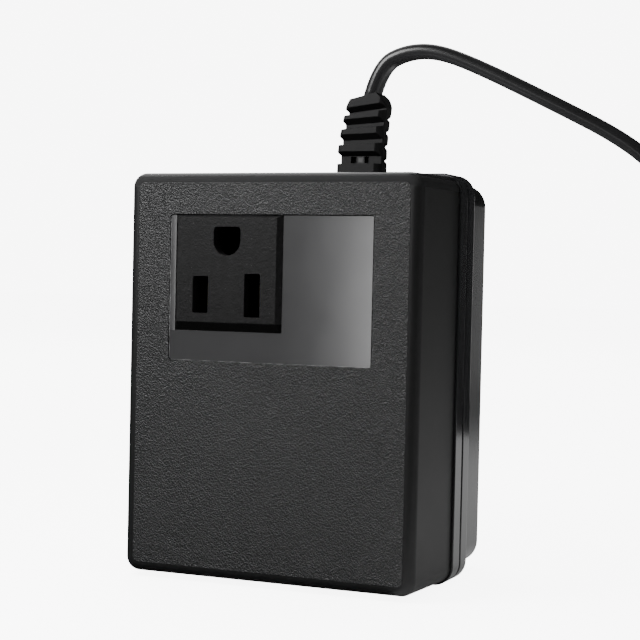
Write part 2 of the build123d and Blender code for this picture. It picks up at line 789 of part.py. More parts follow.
with BuildPart() as strain_relief:
    with BuildSketch(level(relief_stub_z, relief_x, seam_y)):
        Rectangle(relief_stub_width, relief_stub_depth)
    extrude(amount=relief_stub_height)
    with BuildSketch(level(relief_heel_top_z - relief_heel_height, relief_x, seam_y)):
        Rectangle(relief_heel_width, relief_heel_depth)
    extrude(amount=relief_heel_height)
    with BuildSketch(level(relief_heel_top_z, relief_x, seam_y)):
        Rectangle(relief_neck_width, relief_neck_depth)
    extrude(amount=flange_height - relief_heel_top_z)
    base_top_z = flange_height + relief_base_height
    relief_block(
        [
            (relief_x, flange_height, 0, relief_base_width, relief_base_depth),
            (relief_x, base_top_z - relief_base_chamfer, 0, relief_base_width, relief_base_depth),
            (
                relief_x,
                base_top_z,
                0,
                relief_base_width - 2 * relief_base_chamfer,
                relief_base_depth - 2 * relief_base_chamfer,
            ),
        ]
    )
    below_x = relief_x
    below_z = base_top_z
    below_slope = 0.0
    for under_rise, edge_rise, top_rise, width, depth, x, slope in relief_ribs:
        under_z = flange_height + under_rise
        edge_z = flange_height + edge_rise
        top_z = flange_height + top_rise
        lean = relief_lean * (top_z - edge_z)
        relief_core(below_x, below_z, below_slope, x - lean / 2, under_z, slope)
        relief_block(
            [
                (x - lean, under_z, slope, width - 2 * rib_chamfer, depth - 2 * rib_chamfer),
                (x - lean / 2, edge_z, slope, width, depth),
                (x + lean / 2, top_z - rib_top_chamfer, slope, width - lean / 2, depth),
                (
                    x + lean / 2,
                    top_z,
                    slope,
                    width - 2 * rib_top_chamfer - lean / 2,
                    depth - 2 * rib_top_chamfer,
                ),
            ]
        )
        below_x = x + lean / 2
        below_z = top_z
        below_slope = slope
    cap_bottom_z = flange_height + relief_cap_bottom_rise
    relief_core(below_x, below_z, below_slope, cap_x - relief_lean, cap_bottom_z, relief_cap_slope)
    relief_block(
        [
            (
                cap_x,
                cap_bottom_z,
                relief_cap_slope,
                cap_width - 2 * rib_chamfer,
                relief_cap_depth - 2 * rib_chamfer,
            ),
            (cap_x, cap_lower_z, relief_cap_slope, cap_width, relief_cap_depth),
        ]
    )
    cap_rise = cap_width / 2 * tan(radians(relief_cap_slope))
    with BuildSketch(Plane(origin=(0, seam_y, 0), x_dir=(1, 0, 0), z_dir=(0, -1, 0))):
        with BuildLine():
            Polyline(
                (relief_cap_left, cap_lower_z - cap_rise),
                (relief_cap_left + relief_cap_edge, cap_lower_z + relief_cap_left_rise),
                exit_left,
                exit_right,
                (relief_cap_right, cap_lower_z + relief_cap_right_rise),
                (relief_cap_right, cap_lower_z + cap_rise),
                close=True,
            )
        make_face()
    extrude(amount=relief_cap_depth / 2, both=True)
strain_relief.part.label = "strain_relief"
export_step(strain_relief.part, "parts/strain_relief.step")

# Leads inside the case
lead_top_z = relief_stub_z
tail_end_y = front_y + socket_cover_depth + contact_tail_length
sleeve_top_z = pin_top_z + sleeve_length - sleeve_overlap
input_spots = (relief_x - lead_spread / 2, relief_x + lead_spread / 2)
run_z = (core_top_z + blade_z - contact_height) / 2


def round_lead(points, radii):
    """A round insulated wire along straight runs joined by tangent arcs, square to both ends."""
    with BuildLine() as route:
        FilletPolyline(*points, radius=radii)
    with BuildSketch(Plane(origin=route.line @ 0, z_dir=route.line % 0)) as section:
        Circle(lead_radius)
    sweep(section.sketch, path=route.line)


def input_lead(top_x, pin_x):
    """From the strain relief down beside the socket, forward over the core and down to a terminal pin."""
    points = [
        (top_x, seam_y, lead_top_z),
        (top_x, seam_y, run_z + lead_radius),
        (pin_x, pin_y, run_z + lead_radius),
        (pin_x, pin_y, pin_top_z + slip),
    ]
    round_lead(points, 3 * lead_radius)


def output_lead(x, pin_x, drop):
    """From a contact's tail back, down behind the socket, forward over the core and down to a pin."""
    back_y = tail_end_y + drop
    points = [
        (x, tail_end_y, blade_z),
        (x, back_y, blade_z),
        (x, back_y, run_z),
        (pin_x, pin_y, run_z),
        (pin_x, pin_y, pin_top_z + slip),
    ]
    round_lead(points, 2 * lead_radius)


with BuildPart() as neutral_input_lead:
    input_lead(input_spots[0], pin_offsets[2])
neutral_input_lead.part.label = "neutral_input_lead"
export_step(neutral_input_lead.part, "parts/neutral_input_lead.step")

with BuildPart() as live_input_lead:
    input_lead(input_spots[1], pin_offsets[3])
live_input_lead.part.label = "live_input_lead"
export_step(live_input_lead.part, "parts/live_input_lead.step")

with BuildPart() as neutral_output_lead:
    output_lead(blade_x[0], pin_offsets[0], 5 * lead_radius)
neutral_output_lead.part.label = "neutral_output_lead"
export_step(neutral_output_lead.part, "parts/neutral_output_lead.step")

with BuildPart() as live_output_lead:
    output_lead(blade_x[1], pin_offsets[1], 5 * lead_radius)
live_output_lead.part.label = "live_output_lead"
export_step(live_output_lead.part, "parts/live_output_lead.step")

with BuildPart() as lead_sleeves:
    with BuildSketch(level(pin_top_z - sleeve_overlap, 0, pin_y)):
        with Locations(*[(x, 0) for x in pin_offsets]):
            Circle(lead_radius + slip + sleeve_wall)
            Circle(lead_radius + slip, mode=Mode.SUBTRACT)
    extrude(amount=sleeve_length)
lead_sleeves.part.label = "lead_sleeves"
export_step(lead_sleeves.part, "parts/lead_sleeves.step")

# Cord: over the arch, down past the case's right side and on to the floor, then in two layers of a coil and
# up to the plug, which lies on the coil
floor_z = tie_thickness + cord_thickness / 2
cord_route = [
    cord_exit,
    (14.6, flange_height + 23.9),
    (19.5, flange_height + 28.1),
    (27.5, flange_height + 28.3),
    (37.5, flange_height + 24.3),
    (54.0, flange_height + 16.6),
    (76.0, flange_height + 5.3),
    (83.8, flange_height - 4.5),
    (87.4, 74.6),
    (88.0, 56.4),
    (89.0, 36.8),
    (92.0, 21.65),
    (97.5, 12.1),
    (106.2, 5.35),
    (116.7, floor_z),
    (124.7, floor_z),
]
cord_end_x = cord_route[-1][0]
coil_x = cord_end_x + cord_width
coil_y = seam_y + coil_start_radius
upper_z = floor_z + layer_pitch
plug_z = upper_z + cord_thickness / 2 + plug_rest_gap + plug_thickness / 2
coil_quarters = coil_lower_quarters + coil_climb_quarters + coil_upper_quarters
coil_reversal = coil_lower_quarters + coil_climb_quarters / 2
tail_radius = coil_start_radius - turn_pitch * (2 * coil_reversal - coil_quarters) / 4
tail_route = [
    (tail_radius, 0.0, upper_z),
    (tail_radius, 8.0, upper_z),
    (33.3, 16.0, 7.4),
    (30.8, 23.6, 9.5),
    (25.3, 29.4, 11.9),
    (17.7, 32.1, 13.9),
    (9.8, 31.3, plug_z),
    (2.9, 27.1, plug_z),
    (-1.5, 21.1, plug_z),
    (-3.4, 14.3, plug_z),
    (-3.4, 7.8, plug_z),
]


def arc_radii(points):
    """Each arc's radius: 0.45 of the shorter run beside it, over the tangent of half the turn."""
    vectors = [Vector(*point) for point in points]
    radii = []
    for before, corner, after in zip(vectors, vectors[1:], vectors[2:]):
        run_in = corner - before
        run_out = after - corner
        half_turn = radians(run_in.get_angle(run_out)) / 2
        radii.append(0.45 * min(run_in.length, run_out.length) / tan(half_turn))
    return radii


def flat_cord(route, side, guide=None):
    """The flat section swept along a route, its wide side along a direction, and square to any guide."""
    with BuildSketch(Plane(origin=route.line @ 0, x_dir=side, z_dir=route.line % 0)) as section:
        RectangleRounded(cord_width, cord_thickness, cord_corner_radius)
    sweep(section.sketch, path=route.wires()[0], binormal=guide)


def guide_above(route):
    """A copy of a route straight above it, which keeps the flat section level on its way."""
    return route.wires()[0].moved(Location((0, 0, cord_width)))


def section_area():
    """The area of the cord's rounded section."""
    return cord_width * cord_thickness - (4 - pi) * cord_corner_radius**2


with BuildPart() as cord_run:
    run_points = [(x, seam_y, z) for x, z in cord_route]
    run_radii = arc_radii(run_points)
    with BuildLine() as run_line:
        FilletPolyline(*run_points, radius=run_radii)
    flat_cord(run_line, (0, 1, 0))
cord_run.part.label = "cord_run"
export_step(cord_run.part, "parts/cord_run.step")


coil_inner_radius = coil_start_radius - turn_pitch * coil_reversal / 4


def coil_place(quarter):
    """The coil's centreline after so many quarter turns: its place and its direction."""
    rate = turn_pitch / 4
    radius = coil_inner_radius + rate * abs(quarter - coil_reversal)
    steepness = 0.0
    if 0 < quarter < coil_reversal:
        steepness = -rate / (pi / 2)
    elif coil_reversal < quarter < coil_quarters:
        steepness = rate / (pi / 2)
    climbed = min(max((quarter - coil_lower_quarters) / coil_climb_quarters, 0), 1)
    climb = layer_pitch * climbed
    slope = layer_pitch / (coil_climb_quarters * pi / 2) if 0 < climbed < 1 else 0.0
    angle = quarter * pi / 2 - pi / 2
    place = Vector(coil_x + radius * cos(angle), coil_y + radius * sin(angle), floor_z + climb)
    heading = Vector(
        -radius * sin(angle) + steepness * cos(angle),
        radius * cos(angle) + steepness * sin(angle),
        slope,
    )
    return place, heading.normalized()


def biarc(start, start_heading, end, end_heading):
    """Two tangent arcs from one place and heading to the next."""
    across = end - start
    both = start_heading + end_heading
    spare = 2 * (1 - start_heading.dot(end_heading))
    pull = across.dot(both)
    reach = (-pull + sqrt(pull**2 + spare * across.dot(across))) / spare
    middle = (start + start_heading * reach + end - end_heading * reach) * 0.5
    TangentArc(start, middle, tangent=start_heading)
    TangentArc(end, middle, tangent=end_heading * -1)


with BuildPart() as cord_coil:
    with BuildLine() as coil_line:
        Line((cord_end_x, seam_y, floor_z), (coil_x, seam_y, floor_z))
        for quarter in range(coil_quarters):
            biarc(*coil_place(quarter), *coil_place(quarter + 1))
    flat_cord(coil_line, (0, 1, 0), guide_above(coil_line))
cord_coil.part.label = "cord_coil"
export_step(cord_coil.part, "parts/cord_coil.step")

with BuildPart() as cord_tail:
    tail_points = [(coil_x + x, coil_y + y, z) for x, y, z in tail_route]
    tail_radii = arc_radii(tail_points)
    with BuildLine() as tail_line:
        FilletPolyline(*tail_points, radius=tail_radii)
    flat_cord(tail_line, (1, 0, 0), guide_above(tail_line))
cord_tail.part.label = "cord_tail"
export_step(cord_tail.part, "parts/cord_tail.step")

# Tie round the coil's bundle
tie_turns = (tie_angle + 90) / 360
tie_radii = [
    coil_inner_radius + turn_pitch * abs(turn + tie_turns - coil_reversal / 4)
    for turn in range(int(coil_quarters / 4 - tie_turns) + 1)
]
bundle_inner = min(tie_radii) - cord_width / 2 - tie_clearance
bundle_outer = max(tie_radii) + cord_width / 2 + tie_clearance
bundle_top_z = upper_z + cord_thickness / 2 + tie_clearance
tie_direction = (cos(radians(tie_angle)), sin(radians(tie_angle)), 0)

with BuildPart() as cord_tie:
    with BuildSketch(
        Plane(
            origin=(coil_x, coil_y, 0),
            x_dir=tie_direction,
            z_dir=(tie_direction[1], -tie_direction[0], 0),
        )
    ):
        with Locations(((bundle_inner + bundle_outer) / 2, (bundle_top_z + tie_thickness) / 2)):
            RectangleRounded(
                bundle_outer - bundle_inner + 2 * tie_thickness,
                bundle_top_z + tie_thickness,
                2 * tie_thickness,
            )
        with Locations(((bundle_inner + bundle_outer) / 2, (bundle_top_z + tie_thickness) / 2)):
            RectangleRounded(
                bundle_outer - bundle_inner,
                bundle_top_z - tie_thickness,
                tie_thickness,
                mode=Mode.SUBTRACT,
            )
    extrude(amount=tie_width / 2, both=True)
cord_tie.part.label = "cord_tie"
export_step(cord_tie.part, "parts/cord_tie.step")

# Plug: two pins in a moulded body with a ribbed relief, lying on the coil and pointing to the front
plug_x = coil_x + tail_route[-1][0]
plug_tail_y = coil_y + tail_route[-1][1]
plug_back_y = plug_tail_y - plug_relief_length
plug_face_y = plug_back_y - plug_body_length


def plug_plane(y):
    """A plane square to the plug's axis, looking forward along it."""
    return Plane(origin=(plug_x, y, plug_z), x_dir=(1, 0, 0), z_dir=(0, -1, 0))


pin_spots = [(side * plug_pin_spacing / 2, 0) for side in (-1, 1)]

with BuildPart() as plug_body:
    plug_sections = (
        (plug_face_y, plug_width, plug_thickness),
        (plug_face_y + plug_front_length, plug_width, plug_thickness),
        (plug_face_y + plug_front_length + plug_waist_length, plug_waist_width, plug_waist_thickness),
        (plug_back_y, plug_tail_width, plug_tail_thickness),
    )
    for y, width, thickness in plug_sections:
        with BuildSketch(plug_plane(y)):
            RectangleRounded(width, thickness, plug_corner_radius * thickness / plug_thickness - slip)
    loft(ruled=True)
    fillet(plug_body.faces().sort_by(Axis.Y)[0].edges(), plug_edge_radius)
    relief_step = plug_relief_length / (2 * plug_relief_ribs + 1)
    with BuildSketch(plug_plane(plug_tail_y)):
        RectangleRounded(plug_relief_end_width, plug_relief_end_thickness, plug_rib_proud)
    with BuildSketch(plug_plane(plug_back_y)):
        RectangleRounded(
            plug_tail_width - 2 * plug_rib_proud, plug_tail_thickness - 2 * plug_rib_proud, plug_rib_proud
        )
    loft(ruled=True)
    for rib in range(plug_relief_ribs):
        share = (2 * rib + 1) / (2 * plug_relief_ribs + 1)
        rib_width = plug_tail_width + share * (plug_relief_end_width - plug_tail_width)
        rib_thickness = plug_tail_thickness + share * (plug_relief_end_thickness - plug_tail_thickness)
        with BuildSketch(plug_plane(plug_back_y + share * plug_relief_length + relief_step)):
            RectangleRounded(rib_width + plug_rib_proud, rib_thickness + plug_rib_proud, 2 * plug_rib_proud)
        extrude(amount=relief_step)
    with BuildSketch(plug_plane(plug_face_y + plug_pin_root)):
        with Locations(*pin_spots):
            Circle(plug_pin_neck_radius + slip)
    extrude(amount=plug_pin_root + overrun, mode=Mode.SUBTRACT)
plug_body.part.label = "plug_body"
export_step(plug_body.part, "parts/plug_body.step")

with BuildPart() as plug_pins:
    with BuildSketch(plug_plane(plug_face_y + plug_pin_root)):
        with Locations(*pin_spots):
            Circle(plug_pin_neck_radius)
    extrude(amount=plug_pin_root + plug_sleeve_length)
    with BuildSketch(plug_plane(plug_face_y - plug_sleeve_length)):
        with Locations(*pin_spots):
            Circle(plug_pin_radius)
    extrude(amount=plug_pin_bare_length)
    fillet(plug_pins.edges().filter_by(GeomType.CIRCLE).group_by(Axis.Y)[0], plug_pin_tip_radius)
plug_pins.part.label = "plug_pins"
export_step(plug_pins.part, "parts/plug_pins.step")

with BuildPart() as plug_pin_sleeves:
    with BuildSketch(plug_plane(plug_face_y)):
        with Locations(*pin_spots):
            Circle(plug_sleeve_radius)
            Circle(plug_pin_neck_radius + slip, mode=Mode.SUBTRACT)
    extrude(amount=plug_sleeve_length)
plug_pin_sleeves.part.label = "plug_pin_sleeves"
export_step(plug_pin_sleeves.part, "parts/plug_pin_sleeves.step")

# Measures of the cord: arc radii, volumes against section times length, and the coil's gap to itself
print("cord_run radii", [round(radius, 1) for radius in run_radii])
print("cord_tail radii", [round(radius, 1) for radius in tail_radii])
cord_length = 0.0
for name, part, route in (
    ("cord_run", cord_run, run_line),
    ("cord_coil", cord_coil, coil_line),
    ("cord_tail", cord_tail, tail_line),
):
    length = route.wires()[0].length
    cord_length += length
    ratio = part.part.volume / (section_area() * length)
    print(name, "length", round(length, 1), "volume over section times length", round(ratio, 4))
print("cord length", round(cord_length, 1))


def coil_gap():
    """The least distance between points on the skin of the coil that are over half a turn apart."""
    wire = coil_line.wires()[0]
    steps = int(wire.length / gap_step)
    inset = cord_corner_radius * (1 - sqrt(0.5))
    rim = [
        (side * (cord_width / 2 - inset), end * (cord_thickness / 2 - inset))
        for side in (-1, 1)
        for end in (-1, 1)
    ]
    rim += [(side * cord_width / 2, 0) for side in (-1, 1)]
    rim += [
        (share * (cord_width / 2 - cord_corner_radius), end * cord_thickness / 2)
        for share in (-1, 0, 1)
        for end in (-1, 1)
    ]
    rings = []
    for step in range(steps + 1):
        place = wire.position_at(step / steps)
        heading = wire.tangent_at(step / steps)
        side = heading.cross(Vector(0, 0, 1)).normalized()
        up = side.cross(heading).normalized()
        rings.append([place + side * across + up * rise for across, rise in rim])
    apart = int(pi * coil_inner_radius / gap_step)
    least = coil_start_radius
    for index, ring in enumerate(rings):
        for other in rings[index + apart :]:
            if (ring[0] - other[0]).length > 2 * turn_pitch:
                continue
            for point in ring:
                for far_point in other:
                    least = min(least, (point - far_point).length)
    return least


print("coil least gap to itself", round(coil_gap(), 2))
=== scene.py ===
"""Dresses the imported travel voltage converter: camera, light, flat cord, moulded details and materials.

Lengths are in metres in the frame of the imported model: Z up, the front of the case facing -Y.
"""

import json
import math

import bmesh
import bpy
from bpy.props import FloatProperty, FloatVectorProperty, PointerProperty
from mathutils import Matrix, Vector

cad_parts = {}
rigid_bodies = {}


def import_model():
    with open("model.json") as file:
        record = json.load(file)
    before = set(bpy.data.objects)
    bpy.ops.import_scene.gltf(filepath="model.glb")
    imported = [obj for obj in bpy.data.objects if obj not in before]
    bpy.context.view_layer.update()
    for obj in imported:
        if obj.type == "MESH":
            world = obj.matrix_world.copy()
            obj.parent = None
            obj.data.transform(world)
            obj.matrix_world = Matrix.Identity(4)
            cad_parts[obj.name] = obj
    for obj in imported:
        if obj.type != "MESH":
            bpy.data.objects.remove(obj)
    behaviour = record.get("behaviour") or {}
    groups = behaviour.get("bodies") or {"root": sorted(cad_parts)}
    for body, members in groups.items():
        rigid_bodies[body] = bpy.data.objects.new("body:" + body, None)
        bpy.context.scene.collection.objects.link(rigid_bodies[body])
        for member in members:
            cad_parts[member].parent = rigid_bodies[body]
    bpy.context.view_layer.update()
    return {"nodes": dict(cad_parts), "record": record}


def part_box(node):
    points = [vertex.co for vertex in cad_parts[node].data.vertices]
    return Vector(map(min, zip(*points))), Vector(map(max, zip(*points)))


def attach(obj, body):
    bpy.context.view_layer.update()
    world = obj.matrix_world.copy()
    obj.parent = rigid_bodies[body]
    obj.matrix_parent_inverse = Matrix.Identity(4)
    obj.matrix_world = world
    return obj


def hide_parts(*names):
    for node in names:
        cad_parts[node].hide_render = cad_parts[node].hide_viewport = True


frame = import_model()

bl_info = {
    "name": "Travel Voltage Converter",
    "version": (1, 0, 0),
    "blender": (4, 5, 0),
    "location": "3D View > Sidebar > Converter",
    "description": "Builds the looks of a small step-down converter round its packed model",
    "category": "Object",
}

MM = 0.001

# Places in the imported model, in metres
FRONT_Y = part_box("front_shell")[0].y
CASE_TOP_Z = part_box("front_shell")[1].z
SEAM_Y = 2.25 * MM
FLANGE_Y = (-2.75 * MM, 7.75 * MM)
SOCKET_BASE_Z = 56.35 * MM

# How near a level a vertex counts as on it, in metres, and how far cutters stand clear, in millimetres
NEAR = 0.01 * MM
CLEAR = 1.0
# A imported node's loose triangles: how near the points are that join, and up to how many degrees faces are one
# flat; and how near a cutting plane a vertex counts as on it
JOIN_DISTANCE = 0.001 * MM
FLAT_ANGLE = 0.5
BISECT_SLACK = 1e-7
# Degrees up to which edges are shaded smooth: on the cord, and on pieces with softened edges
CORD_SMOOTH = 40.0
SOFT_SMOOTH = 50.0

# The photograph's camera: place in metres, turn to the left, downward pitch and roll, and focal length in
# millimetres on a 36 mm sensor
CAMERA_PLACE = (149.1 * MM, -348.2 * MM, 68.74 * MM)
CAMERA_YAW = math.radians(23.004)
CAMERA_PITCH = math.radians(1.5)
CAMERA_ROLL = math.radians(1.277)
CAMERA_LENS = 91.26
CAMERA_SENSOR = 36.0
CAMERA_CLIP = (0.01, 50.0)

# The studio's lights, in metres: the setting with the power, the place, the target, the width and the height
LIGHTS = {
    "key_light": ("key_power", (-0.075, -0.12, 0.19), (0.0, 0.0, 0.07), 0.08, 0.08),
    "left_card": ("left_power", (-0.264, -0.434, 0.211), (0.0, 0.0, 0.07), 0.12, 0.12),
    "front_card": ("card_power", (-0.375, -1.155, 0.055), (0.0, 0.0, 0.07), 0.10, 0.22),
    "rear_card": ("rear_power", (0.22, 1.4, 0.05), (0.04, 0.0, 0.05), 0.28, 0.22),
    "rim_light": ("rim_power", (-0.57, 0.6, 0.94), (0.0, 0.0, 0.09), 1.2, 1.2),
    "top_light": ("top_power", (0.0, -0.2, 1.6), (0.0, 0.0, 0.0), 0.9, 0.9),
}
UNMIRRORED_LIGHT = "top_light"
# The sheet beside the object that its right side mirrors: left, right, near and far edges, and height
SHEET_BOX = (0.03, 0.9, -0.06, 0.34)
SHEET_HEIGHT = 0.05 * MM
MATT = 0.9

# The front's grained flat: middle, half its width and height, corner, blur of its edge, and end in depth
GRAIN_MIDDLE = (0.0, CASE_TOP_Z / 2)
GRAIN_HALF = (32.6 * MM, 43.0 * MM)
GRAIN_CORNER = 1.4 * MM
GRAIN_BLUR = 0.12 * MM
GRAIN_FADE = (FRONT_Y + 0.03 * MM, FRONT_Y + 0.06 * MM)
# Where the rough collar below the front's upper edge, the crown above it, the flange and the rear shell begin
COLLAR_FADE = (CASE_TOP_Z - 4.4 * MM, CASE_TOP_Z - 3.9 * MM)
CROWN_FADE = (CASE_TOP_Z - 2.05 * MM, CASE_TOP_Z - 1.8 * MM)
FLANGE_FADE = (FLANGE_Y[0] - 0.2 * MM, FLANGE_Y[0] + 0.1 * MM)
REAR_FADE = (FLANGE_Y[1] - 0.1 * MM, FLANGE_Y[1] + 0.2 * MM)
# Least and most roughness of the front shell's sides, the flange and the grained flat, and of the rear shell
# against its setting, and how much the collar adds to the sides' roughness and the crown takes off it
SIDES_ROUGH = (0.46, 0.54)
FLANGE_ROUGH = (0.08, 0.13)
GRAIN_ROUGH = (0.38, 0.45)
REAR_ROUGH = (-0.05, 0.04)
COLLAR_ROUGHER = 0.4
CROWN_GLOSSIER = 0.7
# How much paler the flange is than the sides, a painted reflection, and how many pits of the grain lie across
# one of its cells
FLANGE_PAINTED_LIGHT = 1.8
PITS_PER_CELL = 1.4
# Depth of the satin of the sides, and of the slow waves of moulded walls, in metres
SATIN_DEPTH = 0.0035 * MM
WAVE_DEPTH = 0.02 * MM

# The socket: its roughness, with the least and most of its face, refraction, size and depth of its grain,
# where its face begins above its lower bevel, the painted shade and the roughness of that bevel, and the dust
SOCKET_COLOUR = (0.004, 0.004, 0.0042)
SOCKET_ROUGH = 0.55
FACE_ROUGH = (0.5, 0.62)
SOCKET_REFRACTION = 1.32
SOCKET_GRAIN = (0.36 * MM, 0.07 * MM)
SOCKET_FACE_FADE = (SOCKET_BASE_Z + 1.85 * MM, SOCKET_BASE_Z + 1.95 * MM)
BEVEL_PAINTED_SHADE = 0.06
BEVEL_ROUGH = 0.95
DUST_COLOUR = (0.12, 0.12, 0.115)
DUST_SPACING = 0.9 * MM

# The fuse: colours, least and most roughness, and how far from its middle its band ends and its leads begin
FUSE_WHITE = (0.78, 0.77, 0.73)
FUSE_RED = (0.45, 0.03, 0.02)
FUSE_LEAD = (0.55, 0.54, 0.52)
FUSE_ROUGH = (0.18, 0.3)
FUSE_BAND_FADE = (0.9 * MM, 1.0 * MM)
FUSE_LEAD_FADE = (4.4 * MM, 4.5 * MM)

BLACK = (0.005, 0.005, 0.0055)
WHITE = (1.0, 1.0, 1.0, 1.0)

# Metals: colour, roughness, how close the brush marks lie along each axis, and the shade of their stain
METALS = {
    "screw_steel": ((0.60, 0.60, 0.62), 0.3, (900.0, 900.0, 9000.0), 0.8),
    "contact_brass": ((0.78, 0.60, 0.30), 0.3, (6000.0, 500.0, 6000.0), 0.8),
    "pin_metal": ((0.80, 0.79, 0.76), 0.18, (9000.0, 400.0, 9000.0), 0.92),
}
# Layers and turns: colour, roughness, metallic share, axis, pitch and depth in millimetres, and shade of gaps
LAYERED = {
    "core_steel": ((0.30, 0.30, 0.31), 0.45, 0.85, "Y", 0.5, 0.12, 0.25),
    "winding_copper": ((0.62, 0.20, 0.07), 0.28, 0.9, "Z", 0.42, 0.2, 0.2),
    "tape_film": ((0.80, 0.58, 0.09), 0.22, 0.0, "Z", 6.0, 0.05, 0.85),
    "tie_plastic": (BLACK, 0.4, 0.0, "Z", 0.8, 0.1, 0.7),
}
LAYER_WANDER = 0.15
# Moulded plastics: colour, roughness, and the size and depth of their grain in millimetres
MOULDED = {
    "bobbin_plastic": ((0.72, 0.70, 0.62), 0.4, 0.5, 0.008),
    "lead_blue": ((0.03, 0.12, 0.42), 0.35, 0.8, 0.01),
    "lead_brown": ((0.16, 0.06, 0.025), 0.35, 0.8, 0.01),
    "sleeve_plastic": (BLACK, 0.5, 0.4, 0.01),
    "plug_plastic": ((0.0042, 0.0042, 0.0045), 0.4, 0.35, 0.03),
}
# Soft plastics: shade of the cord's colour, roughness, refraction, and the painted light on what faces down:
# painted shade on the relief, a painted reflection on the cord
RELIEF_PLASTIC = (0.65, 0.55, 1.3, 0.2)
CORD_PLASTIC = (0.85, 0.3, 1.38, 3.2)
PAINTED_UNDERSIDE_FADE = (-0.8, 0.1)

# The cord's control points, in millimetres: X and Z over the arch and down to the floor
CORD_RUN = (
    (12.5, 111.6),
    (14.4, 117.9),
    (20.6, 120.7),
    (27.6, 120.75),
    (36.6, 117.4),
    (52.1, 109.9),
    (74.0, 98.7),
    (83.4, 88.2),
    (87.2, 74.6),
    (88.0, 56.4),
    (89.0, 36.8),
    (92.0, 21.65),
    (97.5, 11.6),
    (106.2, 4.6),
    (116.7, 2.15),
    (124.7, 2.15),
    (130.1, 2.15),
)
CORD_EXIT = CORD_RUN[0]
# Its section's corners against half its thickness, with the points of each, and its map's length for a metre
SECTION_ROUND = 0.97
SECTION_STEPS = 6
MAP_PER_METRE = 100

# The strain relief, in millimetres: rises above the flange with its left and right edges
FLANGE_TOP = 92.7
RELIEF_DEPTH = 6.1
RELIEF_CORNERS = (1.0, 1.5)
CORNER_PROFILE = 0.35
RELIEF_LEVELS = (
    (0.0, 4.6, 15.55),
    (5.3, 4.7, 15.6),
    (8.7, 5.1, 15.85),
    (11.9, 5.7, 16.1),
    (14.8, 6.4, 16.55),
    (20.0, 7.45, 16.9),
)
# Its slots: the middle that they tilt round and their depth, and at their ends round the left and the right
# side the depth, the reach past the seam and the share of the roof's taper
RELIEF_MIDDLE = 10.5
RELIEF_SLOT_DEPTH = 1.25
SIDE_SLOT_DEPTHS = (0.85, 0.6)
SIDE_SLOT_REACHES = (1.8, 0.6)
SIDE_ROOF_SHARE = 0.8
# From the front and from the back: floor outside and inside, roof outside and inside, and slope in degrees
FRONT_SLOTS = (
    (2.45, 2.45, 5.3, 4.2, 0.0),
    (6.95, 7.1, 9.2, 7.65, 2.0),
    (10.65, 10.9, 12.7, 11.1, 4.0),
    (14.0, 14.1, 15.65, 14.3, 6.8),
)
REAR_SLOTS = (
    (2.4, 3.2, 3.9, 3.4, 0.0),
    (5.3, 6.2, 7.1, 6.6, 1.0),
    (8.3, 9.3, 10.2, 9.7, 3.0),
    (11.5, 12.25, 12.9, 12.4, 5.4),
)
# The windows in its lowest front slot, and the planes that shape its cap: place and direction in X and Z
RELIEF_WINDOWS = ((7.95, 9.3), (11.35, 12.35))
WINDOW_RISES = (2.6, 4.1)
WINDOW_DEPTH = 2.6
CAP_CUTS = (
    ((8.4, 17.4), (-0.22, 0.97)),
    ((7.35, 16.6), (-0.8, 0.6)),
    ((14.4, 18.45), (0.68, 0.73)),
    ((15.55, 17.3), (0.86, 0.51)),
)
# How far below the flange's top its foot is cut, clear of the node's shoulder that lies in that plane
FOOT_GAP = 0.02
# The cord's end in the cap: depth, overlap with the cord, and its width and thickness against the cord's
CORD_STUB = 3.4
STUB_OVERLAP = 0.02
STUB_SLIM = 0.998
# The painted highlight on the web between the windows: X and rise above the flange, the fade of its edge, and
# its colour
WEB_MIDDLE = (10.35, 3.35)
WEB_FADE = (0.35 * MM, 0.85 * MM)
WEB_HIGHLIGHT_COLOUR = (0.05, 0.05, 0.05)

# The plate, in millimetres: left, right, lower and upper edges, corner, its front and back behind the case's
# front, what counts as on its front, and the left, right and lower edges of the notch for the socket
PLATE_BOX = (-24.4, 24.4, 49.6, 82.2)
PLATE_CORNER = 0.7
PLATE_LAYER = (0.25, 0.5)
PLATE_SLACK = 0.1
PLATE_NOTCH = (-23.0, 3.2, 56.25)
# Its narrow left strip: how far its lower and upper ends stand proud, and how wide and how soon it bends
STRIP_LIFTS = (0.13, 0.05)
STRIP_EDGE = 0.8
STRIP_BEND = 0.1
# How far from its left and lower edges the painted highlight fades, and from the others the painted shade of
# the rim
EDGE_HIGHLIGHT_FADE = (0.07, 0.13)
SHADOW_RIM_FADE = (0.2, 0.14)
EDGE_HIGHLIGHT_COLOUR = (0.2, 0.2, 0.2)
SHADOW_RIM_SHADE = 0.03
SHADOW_RIM_ROUGH = 0.9
PLATE_ROUGH = (0.10, 0.17)

# Softened edges: radius in millimetres, and least angle of the edges in degrees
RELIEF_EDGES = (0.16, 28)
PLATE_EDGES = (0.05, 40)
SOCKET_EDGES = (0.16, 30)

# The coil, in millimetres and turns: two layers, inward in the lower one and outward in the upper one
COIL_MIDDLE = (130.1, 36.75)
COIL_LOWER_Z = 2.15
COIL_CLIMB = 3.9
COIL_LEAST_RADIUS = 21.0
COIL_TURN_PITCH = 6.0
COIL_REVERSAL_TURN = 2.25
COIL_CLIMB_TURNS = (2.0, 2.5)
COIL_TURNS = 4.25
COIL_STEPS = 12
# From the coil's middle, up and across to the plug
CORD_TAIL = (
    (33.0, 8.0, 6.05),
    (33.3, 16.0, 7.4),
    (30.8, 23.6, 9.5),
    (25.3, 29.4, 11.9),
    (17.7, 32.1, 13.9),
    (9.8, 31.3, 14.7),
    (2.9, 27.1, 14.7),
    (-1.5, 21.1, 14.7),
    (-3.4, 14.3, 14.7),
    (-3.4, 7.8, 14.7),
)


